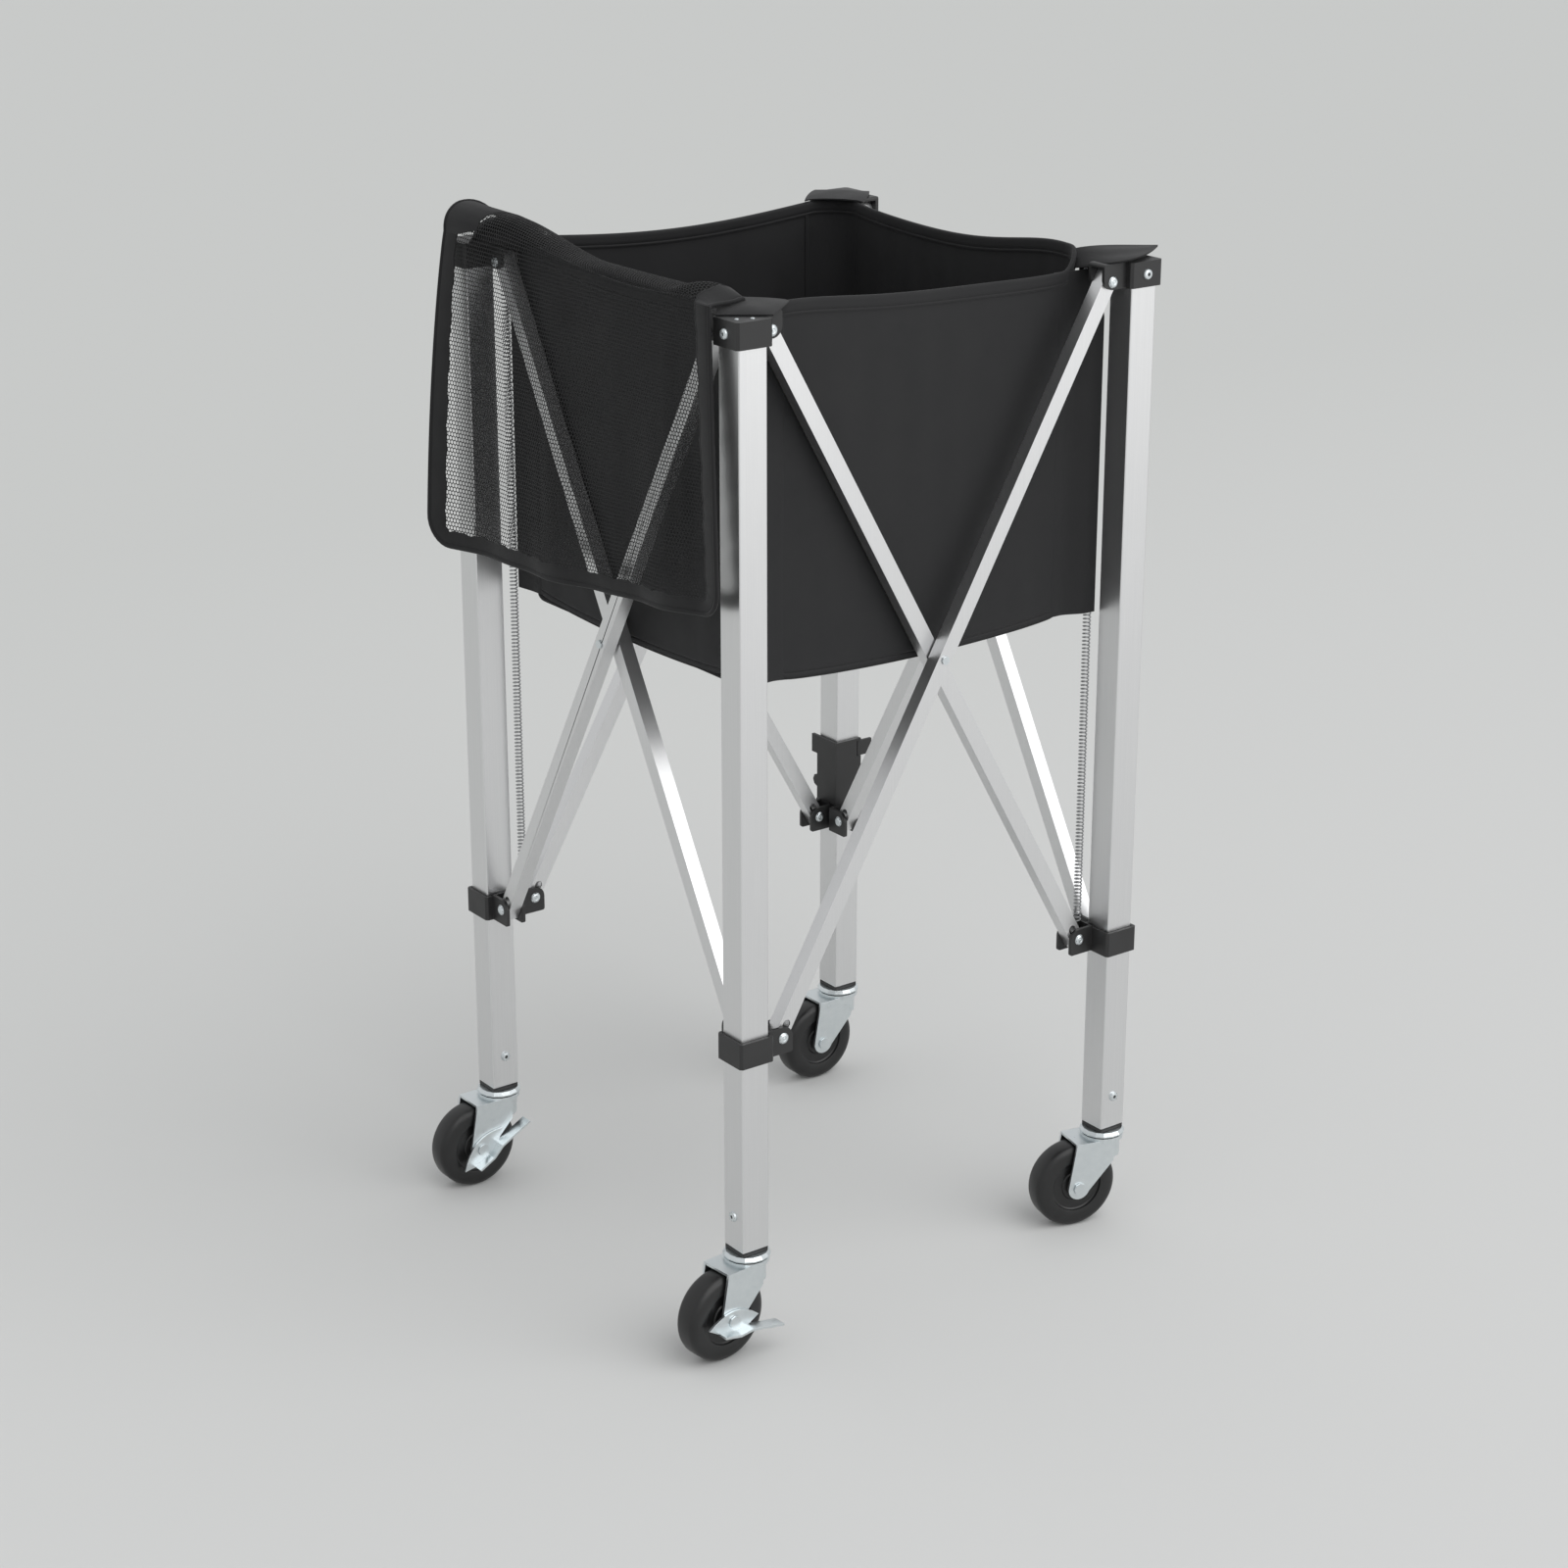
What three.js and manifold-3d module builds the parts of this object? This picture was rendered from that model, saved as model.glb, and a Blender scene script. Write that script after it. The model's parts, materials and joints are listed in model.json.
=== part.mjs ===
// A folding ball cart: four square legs on swivel casters, scissor bars on its four sides,
// and a fabric bag with a mesh lid hung from the tops of the legs. Millimetres, +Z up.
import * as THREE from "three";
import { mergeVertices } from "three/addons/utils/BufferGeometryUtils.js";
import Module from "manifold-3d";

const wasm = await Module();
wasm.setup();

// The frame: heights are above the floor, and the legs stand at the corners of a square.
const legWidth = 25;
const legWall = 1.3;
const seatGap = 0.3;
const cutOverrun = 2;
const roundSteps = 8;
const arcSteps = 4;

// The hubs: a fixed cap on top of each leg and a collar that slides on it.
const hubWall = 3;
const slideGap = 0.4;
const capHeight = 20;
const capRoof = 3;
const collarHeight = 21;
const hubChamfer = 2;
const pivotReach = 29;
const capPivotHeight = 808;
const capPivotDrop = 14;
const collarPivotHeight = 260;
const collarPivotRise = 13;

// The ears of the hubs and the rivets through them.
const cheekThickness = 3;
const cheekGap = 0.15;
const earRound = 9;
const earCornerRound = 2;
const earWeb = 2.4;
const pinRadius = 2.4;
const pinGap = 0.3;
const rivetHeadRadius = 4.2;
const rivetHeadHeight = 1.2;

// The cross bars.
const barWidth = 13;
const barThickness = 12;
const barWall = 1.2;
const barOverhang = 8;
const barLayerGap = 1.3;
const foldTravel = 220;
const foldSamples = 20;
const crossingRadius = 1.6;
const crossingHeadRadius = 3.5;

// The fixing screws of the caps and of the caster plugs.
const screwRadius = 2;
const screwHeadRadius = 3.6;
const screwHeadHeight = 1.4;
const footScrewRise = 28;

// The casters.
const plugHeight = 36;
const plugRimHeight = 3;
const stemRadius = 5;
const stemHeadRadius = 6.2;
const stemHeadHeight = 2;
const raceRadius = 19;
const raceLipHeight = 2;
const raceHeight = 4.6;
const raceGap = 0.6;
const forkShelfReach = 31;
const forkSheet = 2.2;
const forkBossRadius = 18;
const forkBossHeight = 1.6;
const forkNoseHeight = 17.6;
const wheelRadius = 37;
const wheelWidth = 24;
const wheelGap = 1.1;
const wheelTopGap = 1.4;
const wheelTrail = 28;
const wheelSteps = 20;
const wheelHubRadius = 11;
const wheelDishRadius = 22;
const wheelDishDepth = 3.5;
const wheelShoulder = 3;
const axleRadius = 3.6;
const axleHeadRadius = 5.4;
const axleHeadHeight = 1.6;
const cheekEndRound = 10;
const cheekNoseX = 4;
const cheekNoseDrop = 20;

// The brake levers, which turn on the axle outside the fork.
const brakeSheet = 2;
const brakeHubRadius = 9;
const brakeWidth = 9;
const brakeBack = 25;
const brakeReach = 44;
const brakeBelly = 9;
const brakeDrop = 14;

// The springs, from the collar to the cap.
const springRadius = 2.9;
const springWire = 1.2;
const springTurns = 20;
const springSide = 18;
const springOut = 20.3;
const springStepsPerTurn = 8;
const springSides = 5;

// The latch on one collar.
const latchHeight = 60;
const latchTabReach = 5;
const latchTabHeight = 17;
const latchBumpRadius = 6;
const latchBumpRise = 17;
const latchLeverReach = 9;
const latchLeverHeight = 14;
const latchLeverDrop = 2.5;
const latchPinRadius = 1;

// The bag and its lid. The bag's width and its clearance to the bars set the legs' pitch.
const bagHalf = 161;
const bagClearance = 4.7;
const bagRound = 27;
const bagWall = 2;
const bagFoot = 530;
const floorGap = 0.5;
const floorRound = 30;
const bagColumns = 18;
const bagRows = 2;
const rimSag = 14;
const tabOverhang = 4;
const tabThickness = 1.4;
const lidOut = 45;
const lidFrontOver = 3;
const lidRearOver = 21;
const lidThickness = 1.6;
const lidFootFront = 592;
const lidFootRear = 569;
const lidRise = 8;
const lidHump = 26;
const lidHumpSpan = 75;
const lidFoldDepth = 4;
const lidFolds = 5;
const lidBendShare = 0.25;
const lidArchShare = 2 / 3;
const lidColumns = 20;
const lidRows = 11;

// Worked out from the sizes above.
const legHalf = legWidth / 2;
const layerShift = barThickness + barLayerGap;
const halfPitch = bagHalf + bagClearance + barThickness / 2 + layerShift;
const legPitch = 2 * halfPitch;
const forkPlateFoot = 2 * wheelRadius + wheelTopGap;
const forkShelfTop = forkPlateFoot + forkSheet;
const raceFoot = forkShelfTop + forkBossHeight + raceGap;
const legFoot = raceFoot + raceHeight + 2 * seatGap + plugRimHeight;
const capTop = capPivotHeight + capPivotDrop;
const collarFoot = collarPivotHeight - collarPivotRise;
const capHalf = legHalf + seatGap + hubWall;
const collarHalf = legHalf + slideGap + hubWall;
const slotWidth = barThickness + 2 * cheekGap;
const earThickness = slotWidth + 2 * cheekThickness;
const pivotRise = capPivotHeight - collarPivotHeight;
const pivotSpan = legPitch - 2 * pivotReach;
const barLength = Math.hypot(pivotRise, pivotSpan);
const barTilt = Math.asin(pivotSpan / barLength);
const forkInner = wheelWidth / 2 + wheelGap;
const forkOuter = forkInner + forkSheet;
const rimCorner = capTop + seatGap + tabThickness;
const lidBridge = capTop + lidRise;
const lidFrontY = -halfPitch - lidFrontOver;
const lidRearY = halfPitch + lidRearOver;

const materials = {
  aluminium: new THREE.MeshStandardMaterial({ color: 0xc9cacc, roughness: 0.38, metalness: 0.9 }),
  zinc: new THREE.MeshStandardMaterial({ color: 0xc3ced0, roughness: 0.28, metalness: 1 }),
  plastic: new THREE.MeshStandardMaterial({ color: 0x1d1d1e, roughness: 0.5, metalness: 0 }),
  wheel: new THREE.MeshStandardMaterial({ color: 0x2a2a2b, roughness: 0.55, metalness: 0 }),
  fabric: new THREE.MeshStandardMaterial({ color: 0x141416, roughness: 0.85, metalness: 0 }),
  mesh: new THREE.MeshStandardMaterial({ color: 0x232325, roughness: 0.8, metalness: 0 }),
  steel: new THREE.MeshStandardMaterial({ color: 0xb9bdbf, roughness: 0.3, metalness: 1 }),
};

const cart = new THREE.Group();

// Adds one named mesh to a group.
function addPiece(group, name, geometry, material) {
  const mesh = new THREE.Mesh(geometry, material);
  mesh.name = name;
  group.add(mesh);
  return mesh;
}

// A geometry as a solid that can be joined and cut.
function solidOf(geometry) {
  const bare = geometry.index ? geometry.toNonIndexed() : geometry.clone();
  bare.deleteAttribute("normal");
  bare.deleteAttribute("uv");
  const merged = mergeVertices(bare);
  const vertProperties = merged.getAttribute("position").array;
  const triVerts = new Uint32Array(merged.index.array);
  return new wasm.Manifold(new wasm.Mesh({ numProp: 3, vertProperties, triVerts }));
}

// A solid as a geometry again.
function geometryOf(solid) {
  const mesh = solid.getMesh();
  const geometry = new THREE.BufferGeometry();
  geometry.setAttribute("position", new THREE.BufferAttribute(mesh.vertProperties, mesh.numProp));
  geometry.setIndex(new THREE.BufferAttribute(mesh.triVerts, 1));
  geometry.computeVertexNormals();
  return geometry;
}

function joined(...geometries) {
  return geometryOf(geometries.map(solidOf).reduce((whole, next) => whole.add(next)));
}

function cut(geometry, ...tools) {
  return geometryOf(tools.map(solidOf).reduce((left, tool) => left.subtract(tool), solidOf(geometry)));
}

// A box between two corners.
function box(lowX, highX, lowY, highY, lowZ, highZ) {
  const block = new THREE.BoxGeometry(highX - lowX, highY - lowY, highZ - lowZ);
  return block.translate((lowX + highX) / 2, (lowY + highY) / 2, (lowZ + highZ) / 2);
}

// A round rod along X, Y or Z through a point, between two places on that axis.
function rod(axis, radius, from, to, x, y, z, steps = roundSteps) {
  const bar = new THREE.CylinderGeometry(radius, radius, to - from, steps);
  const middle = (from + to) / 2;
  if (axis === "x") return bar.rotateZ(-Math.PI / 2).translate(middle, y, z);
  if (axis === "y") return bar.translate(x, middle, z);
  return bar.rotateX(Math.PI / 2).translate(x, y, middle);
}

// A round hole's cutter, whose flats keep the full radius clear.
function bore(axis, radius, ...rest) {
  return rod(axis, radius / Math.cos(Math.PI / roundSteps), ...rest);
}

// An outline in the XY plane, raised from one height to another.
function raised(shape, from, to, curveSegments = arcSteps) {
  const options = { depth: to - from, bevelEnabled: false, curveSegments };
  return new THREE.ExtrudeGeometry(shape, options).translate(0, 0, from);
}

// An outline in the XZ plane, drawn out along Y between two places.
function drawnAlongY(shape, from, to, curveSegments = arcSteps) {
  const options = { depth: to - from, bevelEnabled: false, curveSegments };
  return new THREE.ExtrudeGeometry(shape, options).rotateX(Math.PI / 2).translate(0, to, 0);
}

// A square outline with cut corners, with a square hole where one is given.
function squareOutline(half, chamfer, holeHalf = 0) {
  const flat = half - chamfer;
  const corners = [[half, flat], [flat, half], [-flat, half], [-half, flat]];
  const points = [...corners, ...corners.map(([x, y]) => [-x, -y])];
  const shape = new THREE.Shape(points.map(([x, y]) => new THREE.Vector2(x, y)));
  if (holeHalf > 0) {
    const hole = [[holeHalf, holeHalf], [holeHalf, -holeHalf], [-holeHalf, -holeHalf], [-holeHalf, holeHalf]];
    shape.holes.push(new THREE.Path(hole.map(([x, y]) => new THREE.Vector2(x, y))));
  }
  return shape;
}

// A closed slab: pointAt(across, down, side) gives a point of its front (side 0) or back (side 1).
function slab(columns, rows, pointAt) {
  const positions = [];
  const indices = [];
  const sideSize = (columns + 1) * (rows + 1);
  for (let side = 0; side < 2; side++)
    for (let i = 0; i <= columns; i++)
      for (let j = 0; j <= rows; j++) positions.push(...pointAt(i / columns, j / rows, side).toArray());
  const place = (side, i, j) => side * sideSize + i * (rows + 1) + j;
  const quad = (a, b, c, d) => indices.push(a, b, c, a, c, d);
  for (let i = 0; i < columns; i++)
    for (let j = 0; j < rows; j++) {
      quad(place(0, i, j), place(0, i, j + 1), place(0, i + 1, j + 1), place(0, i + 1, j));
      quad(place(1, i, j), place(1, i + 1, j), place(1, i + 1, j + 1), place(1, i, j + 1));
    }
  for (let i = 0; i < columns; i++) {
    quad(place(0, i, 0), place(0, i + 1, 0), place(1, i + 1, 0), place(1, i, 0));
    quad(place(0, i, rows), place(1, i, rows), place(1, i + 1, rows), place(0, i + 1, rows));
  }
  for (let j = 0; j < rows; j++) {
    quad(place(0, 0, j), place(1, 0, j), place(1, 0, j + 1), place(0, 0, j + 1));
    quad(place(0, columns, j), place(0, columns, j + 1), place(1, columns, j + 1), place(1, columns, j));
  }
  const geometry = new THREE.BufferGeometry();
  geometry.setAttribute("position", new THREE.Float32BufferAttribute(positions, 3));
  geometry.setIndex(indices);
  geometry.computeVertexNormals();
  return geometry;
}

// A closed tube of round sections along a list of points.
function tubeThrough(points, radius, sides) {
  const positions = [];
  const indices = [];
  points.forEach((point, i) => {
    const before = points[Math.max(i - 1, 0)];
    const after = points[Math.min(i + 1, points.length - 1)];
    const along = after.clone().sub(before).normalize();
    const outward = new THREE.Vector3(point.x, point.y, 0).normalize();
    const across = new THREE.Vector3().crossVectors(along, outward).normalize();
    const out = new THREE.Vector3().crossVectors(across, along).normalize();
    for (let s = 0; s < sides; s++) {
      const angle = (s / sides) * 2 * Math.PI;
      const spoke = out.clone().multiplyScalar(radius * Math.cos(angle));
      spoke.addScaledVector(across, radius * Math.sin(angle));
      positions.push(...point.clone().add(spoke).toArray());
    }
  });
  for (let i = 0; i + 1 < points.length; i++)
    for (let s = 0; s < sides; s++) {
      const next = (s + 1) % sides;
      const [a, b, c, d] = [i * sides + s, i * sides + next, (i + 1) * sides + next, (i + 1) * sides + s];
      indices.push(a, b, c, a, c, d);
    }
  const last = (points.length - 1) * sides;
  for (let s = 1; s + 1 < sides; s++) {
    indices.push(0, s + 1, s);
    indices.push(last, last + s, last + s + 1);
  }
  const geometry = new THREE.BufferGeometry();
  geometry.setAttribute("position", new THREE.Float32BufferAttribute(positions, 3));
  geometry.setIndex(indices);
  geometry.computeVertexNormals();
  return geometry;
}

// One leg, about its own axis, with holes for the cap's screw and for the plug's.
function legTube(footScrewTurns) {
  const outline = squareOutline(legHalf, legWall / 2, legHalf - legWall);
  const tube = raised(outline, legFoot, capTop - capRoof - seatGap);
  const capHole = screwHole(capTop - capHeight / 2);
  const footHole = screwHole(legFoot + footScrewRise).rotateZ((footScrewTurns * Math.PI) / 2);
  return cut(tube, capHole, footHole);
}

function screwHole(height) {
  return bore("x", screwRadius + pinGap, -legHalf - cutOverrun, 0, 0, 0, height);
}

// A fixing screw on the -X face, from the wall that it starts in to its head outside.
function fixingScrew(from, face, height) {
  const shank = rod("x", screwRadius, -face - screwHeadHeight / 2, -from, 0, 0, height);
  const head = rod("x", screwHeadRadius, -face - screwHeadHeight, -face + seatGap / 2, 0, 0, height);
  return joined(shank, head);
}

// The outline of an ear that points along +X, with its own round at the lower and the upper corner.
function earOutline(start, foot, top, lowRound, highRound) {
  const end = pivotReach + earRound;
  const shape = new THREE.Shape();
  shape.moveTo(start, foot);
  shape.lineTo(end - lowRound, foot);
  shape.absarc(end - lowRound, foot + lowRound, lowRound, -Math.PI / 2, 0);
  shape.lineTo(end, top - highRound);
  shape.absarc(end - highRound, top - highRound, highRound, 0, Math.PI / 2);
  shape.lineTo(start, top);
  return shape;
}

// A forked ear along +X at one distance inward, with its rivet.
function ear(hubHalf, web, inward, foot, top, lowRound, highRound, slotTop, pivotHeight) {
  const low = inward - earThickness / 2;
  const high = inward + earThickness / 2;
  const outline = earOutline(hubHalf - hubWall / 2, foot, top, lowRound, highRound);
  const block = drawnAlongY(outline, low, high);
  const slotEnd = pivotReach + earRound + cutOverrun;
  const [slotLow, slotHigh] = [low + cheekThickness, high - cheekThickness];
  const slot = box(hubHalf + web, slotEnd, slotLow, slotHigh, foot - cutOverrun, slotTop);
  const alongPivot = (radius, from, to) => rod("y", radius, from, to, pivotReach, 0, pivotHeight);
  const pin = alongPivot(pinRadius, low - rivetHeadHeight / 2, high + rivetHeadHeight / 2);
  const outerHead = alongPivot(rivetHeadRadius, low - rivetHeadHeight, low + seatGap);
  const innerHead = alongPivot(rivetHeadRadius, high - seatGap, high + rivetHeadHeight);
  return joined(cut(block, slot), pin, outerHead, innerHead);
}

// Turns a part that points along +X to point along +Y, on the same inner side.
function towardsY(geometry) {
  const swapped = geometryOf(solidOf(geometry)).toNonIndexed();
  const place = swapped.getAttribute("position");
  for (let i = 0; i < place.count; i += 3)
    for (let k = 0; k < 3; k++) {
      const from = i + k;
      place.setXYZ(from, place.getY(from), place.getX(from), place.getZ(from));
    }
  for (let i = 0; i < place.count; i += 3) {
    const second = new THREE.Vector3().fromBufferAttribute(place, i + 1);
    const third = new THREE.Vector3().fromBufferAttribute(place, i + 2);
    place.setXYZ(i + 1, third.x, third.y, third.z);
    place.setXYZ(i + 2, second.x, second.y, second.z);
  }
  return swapped;
}

// A leg's top cap: its front ear holds an inner bar and its side ear an outer bar.
function topCap() {
  const foot = capTop - capHeight;
  const block = raised(squareOutline(capHalf, hubChamfer), foot, capTop);
  const room = legHalf + seatGap;
  const socket = box(-room, room, -room, room, foot - cutOverrun, capTop - capRoof);
  const shape = [foot, capTop, earRound, earCornerRound, capTop - capRoof, capPivotHeight];
  const frontEar = ear(capHalf, earWeb, layerShift, ...shape);
  const sideEar = towardsY(ear(capHalf, earWeb, 0, ...shape));
  const screw = fixingScrew(legHalf - legWall, capHalf, capTop - capHeight / 2);
  return joined(cut(joined(block, frontEar, sideEar), socket), screw);
}

// A sliding collar: its front ear holds an outer bar and its side ear an inner bar.
function slidingCollar() {
  const top = collarFoot + collarHeight;
  const earTop = collarPivotHeight + earRound;
  const block = raised(squareOutline(collarHalf, hubChamfer), collarFoot, top);
  const room = legHalf + slideGap;
  const way = box(-room, room, -room, room, collarFoot - cutOverrun, earTop + cutOverrun);
  const shape = [collarFoot, earTop, earCornerRound, earRound, earTop + cutOverrun, collarPivotHeight];
  const frontEar = ear(collarHalf, 0, 0, ...shape);
  const sideEar = towardsY(ear(collarHalf, 0, layerShift, ...shape));
  return cut(joined(block, frontEar, sideEar), way);
}

// The tilt of the bars, the span between their pins and the drop to the lower pins in mid-fold,
// where each goes a steady share of its way.
function foldedTo(share) {
  const lastSpan = pivotSpan - foldTravel;
  const lastTilt = Math.asin(lastSpan / barLength);
  return {
    tilt: THREE.MathUtils.lerp(barTilt, lastTilt, share),
    span: THREE.MathUtils.lerp(pivotSpan, lastSpan, share),
    rise: THREE.MathUtils.lerp(pivotRise, barLength * Math.cos(lastTilt), share),
  };
}

// How far a lower pin then lies sideways and upwards of its rest place in the bar.
function pinStray(share) {
  const { tilt, span, rise } = foldedTo(share);
  const sideways = Math.abs(span * Math.cos(tilt) - rise * Math.sin(tilt));
  return [sideways, barLength - span * Math.sin(tilt) - rise * Math.cos(tilt)];
}

// How far a crossing rivet then lies sideways and upwards of its rest place in the inner bar.
function rivetStray(share) {
  const { tilt, span } = foldedTo(share);
  const short = barLength * Math.sin(tilt) - span;
  return [short * Math.cos(tilt), short * Math.sin(tilt)];
}

// The most that a stray reaches in the whole fold, sideways and upwards.
function mostStray(stray) {
  const strays = Array.from({ length: foldSamples + 1 }, (_, i) => stray(i / foldSamples));
  return [0, 1].map((k) => Math.max(...strays.map((pair) => pair[k])));
}

// A cross bar hung from its upper pin at the origin, straight down, before it is tilted.
function crossBar(isInner) {
  const half = new THREE.Shape();
  const [w, t] = [barWidth / 2, barThickness / 2];
  half.moveTo(-w, -t);
  half.lineTo(w, -t);
  half.lineTo(w, t);
  half.lineTo(-w, t);
  const hollow = new THREE.Path();
  hollow.moveTo(-w + barWall, -t + barWall);
  hollow.lineTo(-w + barWall, t - barWall);
  hollow.lineTo(w - barWall, t - barWall);
  hollow.lineTo(w - barWall, -t + barWall);
  half.holes.push(hollow);
  const tube = raised(half, -barLength - barOverhang, barOverhang);
  const reach = t + cutOverrun;
  const holeRadius = pinRadius + pinGap;
  const [sideways, upwards] = mostStray(pinStray);
  const slotRadius = holeRadius + sideways;
  const slotTop = -barLength + upwards;
  const upperHole = bore("y", holeRadius, -reach, reach, 0, 0, 0);
  const slotFoot = bore("y", slotRadius, -reach, reach, 0, 0, -barLength);
  const slotHead = bore("y", slotRadius, -reach, reach, 0, 0, slotTop);
  const slot = box(-slotRadius, slotRadius, -reach, reach, -barLength, slotTop);
  return cut(tube, upperHole, slotFoot, slotHead, slot, crossingHole(isInner, reach));
}

// The outer bar has a round hole for the crossing rivet; the inner bar a wide slot in its near wall.
function crossingHole(isInner, reach) {
  const radius = crossingRadius + pinGap;
  const middle = -barLength / 2;
  if (!isInner) return bore("y", radius, -reach, reach, 0, 0, middle);
  const [sideways, upwards] = mostStray(rivetStray);
  return box(-sideways - radius, radius, -reach, 0, middle - radius, middle + upwards + radius);
}

// The rivet where two bars cross, from its head outside to its end inside the inner bar.
function crossingRivet() {
  const face = -barThickness / 2;
  const end = layerShift - barThickness / 2 + barWall + seatGap;
  const head = rod("y", crossingHeadRadius, face - seatGap - rivetHeadHeight, face - seatGap, 0, 0, 0);
  const shank = rod("y", crossingRadius, face - seatGap - rivetHeadHeight / 2, end, 0, 0, 0);
  return joined(head, shank);
}

// The cart's corners, as quarter turns of the front left one, and the way their casters face.
const corners = [
  { name: "front_left", turns: 0, x: -1, y: -1, yaw: 5, footScrewTurns: 0, brake: 0 },
  { name: "front_right", turns: 1, x: 1, y: -1, yaw: -13, footScrewTurns: 0, brake: null },
  { name: "rear_right", turns: 2, x: 1, y: 1, yaw: 0, footScrewTurns: 0, brake: null },
  { name: "rear_left", turns: 3, x: -1, y: 1, yaw: 0, footScrewTurns: 2, brake: 42 },
];
const sides = ["front", "right", "rear", "left"];

// A group turned by quarter turns about the cart's middle.
function turnedGroup(turns) {
  const group = new THREE.Group();
  group.rotation.z = (turns * Math.PI) / 2;
  cart.add(group);
  return group;
}

function addLegs() {
  for (const corner of corners) {
    const group = turnedGroup(corner.turns);
    const pieces = [
      addPiece(group, "leg_" + corner.name, legTube(corner.footScrewTurns), materials.aluminium),
      addPiece(group, "top_cap_" + corner.name, topCap(), materials.plastic),
      addPiece(group, "sliding_collar_" + corner.name, slidingCollar(), materials.plastic),
    ];
    for (const piece of pieces) piece.position.set(-halfPitch, -halfPitch, 0);
  }
}

function addBars() {
  const pivotX = halfPitch - pivotReach;
  sides.forEach((side, turns) => {
    const group = turnedGroup(turns);
    const outer = addPiece(group, side + "_outer_bar", crossBar(false), materials.aluminium);
    outer.position.set(pivotX, -halfPitch, capPivotHeight);
    outer.rotation.y = barTilt;
    const inner = addPiece(group, side + "_inner_bar", crossBar(true), materials.aluminium);
    inner.position.set(-pivotX, -halfPitch + layerShift, capPivotHeight);
    inner.rotation.y = -barTilt;
    const rivet = addPiece(group, side + "_crossing_rivet", crossingRivet(), materials.zinc);
    rivet.position.set(0, -halfPitch, (capPivotHeight + collarPivotHeight) / 2);
  });
}

// The square plug in a leg's foot, with the stem that carries the caster and its fixing screw.
function casterPlug(footScrewTurns) {
  const rimTop = legFoot - seatGap;
  const half = legHalf - legWall - seatGap;
  const rim = raised(squareOutline(legHalf - seatGap, legWall / 2), rimTop - plugRimHeight, rimTop);
  const body = raised(squareOutline(half, legWall / 2), rimTop - plugRimHeight, legFoot + plugHeight);
  const stemFoot = forkPlateFoot - seatGap - stemHeadHeight;
  const stem = rod("z", stemRadius, stemFoot, rimTop, 0, 0, 0);
  const head = rod("z", stemHeadRadius, stemFoot, stemFoot + stemHeadHeight, 0, 0, 0);
  const screw = fixingScrew(half - legWall, legHalf + seatGap, legFoot + footScrewRise);
  return joined(rim, body, stem, head, screw.rotateZ((footScrewTurns * Math.PI) / 2));
}

// The dished bearing disc between the plug and the fork.
function raceway() {
  const [foot, top] = [raceFoot, raceFoot + raceHeight];
  const boreRadius = (stemRadius + seatGap) / Math.cos(Math.PI / (2 * roundSteps));
  const lip = raceRadius - raceLipHeight;
  const profile = [
    [boreRadius, foot], [lip, foot], [raceRadius, foot + raceLipHeight / 2],
    [raceRadius, foot + raceLipHeight], [lip, top], [boreRadius, top], [boreRadius, foot],
  ];
  const points = profile.map(([radius, height]) => new THREE.Vector2(radius, height));
  return new THREE.LatheGeometry(points, 2 * roundSteps).rotateX(Math.PI / 2);
}

// The outline of a fork cheek in the XZ plane: a straight rear edge, a slanted front edge and a round end.
function cheekOutline() {
  const back = -forkShelfReach;
  const shape = new THREE.Shape();
  shape.moveTo(0, forkShelfTop);
  shape.lineTo(back, forkShelfTop);
  shape.lineTo(-wheelTrail - cheekEndRound, wheelRadius);
  shape.absarc(-wheelTrail, wheelRadius, cheekEndRound, Math.PI, 2 * Math.PI - Math.PI / 8);
  shape.lineTo(cheekNoseX, forkShelfTop - cheekNoseDrop);
  shape.lineTo(cheekNoseX, forkShelfTop);
  return shape;
}

// A caster's fork: a flat shelf with a raised ring, a round nose and two cheeks.
function casterFork() {
  const plan = new THREE.Shape();
  plan.moveTo(-forkShelfReach, -forkOuter);
  plan.lineTo(0, -forkOuter);
  plan.absarc(0, 0, forkOuter, -Math.PI / 2, Math.PI / 2);
  plan.lineTo(-forkShelfReach, forkOuter);
  const shelf = raised(plan, forkPlateFoot, forkShelfTop, roundSteps);
  const bossTop = forkShelfTop + forkBossHeight;
  const boss = rod("z", forkBossRadius, forkPlateFoot, bossTop, 0, 0, 0, 2 * roundSteps);
  const nose = new THREE.Shape();
  nose.moveTo(0, -forkOuter);
  nose.absarc(0, 0, forkOuter, -Math.PI / 2, Math.PI / 2);
  nose.lineTo(0, forkInner);
  nose.absarc(0, 0, forkInner, Math.PI / 2, -Math.PI / 2, true);
  const skirt = raised(nose, forkShelfTop - forkNoseHeight, forkPlateFoot + forkSheet / 2, roundSteps);
  const near = drawnAlongY(cheekOutline(), -forkOuter, -forkInner, roundSteps);
  const far = drawnAlongY(cheekOutline(), forkInner, forkOuter, roundSteps);
  const stemHole = bore("z", stemRadius + seatGap, 0, legFoot, 0, 0, 0);
  const axleHole = bore("y", axleRadius + seatGap, -legWidth, legWidth, -wheelTrail, 0, wheelRadius);
  return cut(joined(shelf, boss, skirt, near, far), stemHole, axleHole);
}

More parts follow.
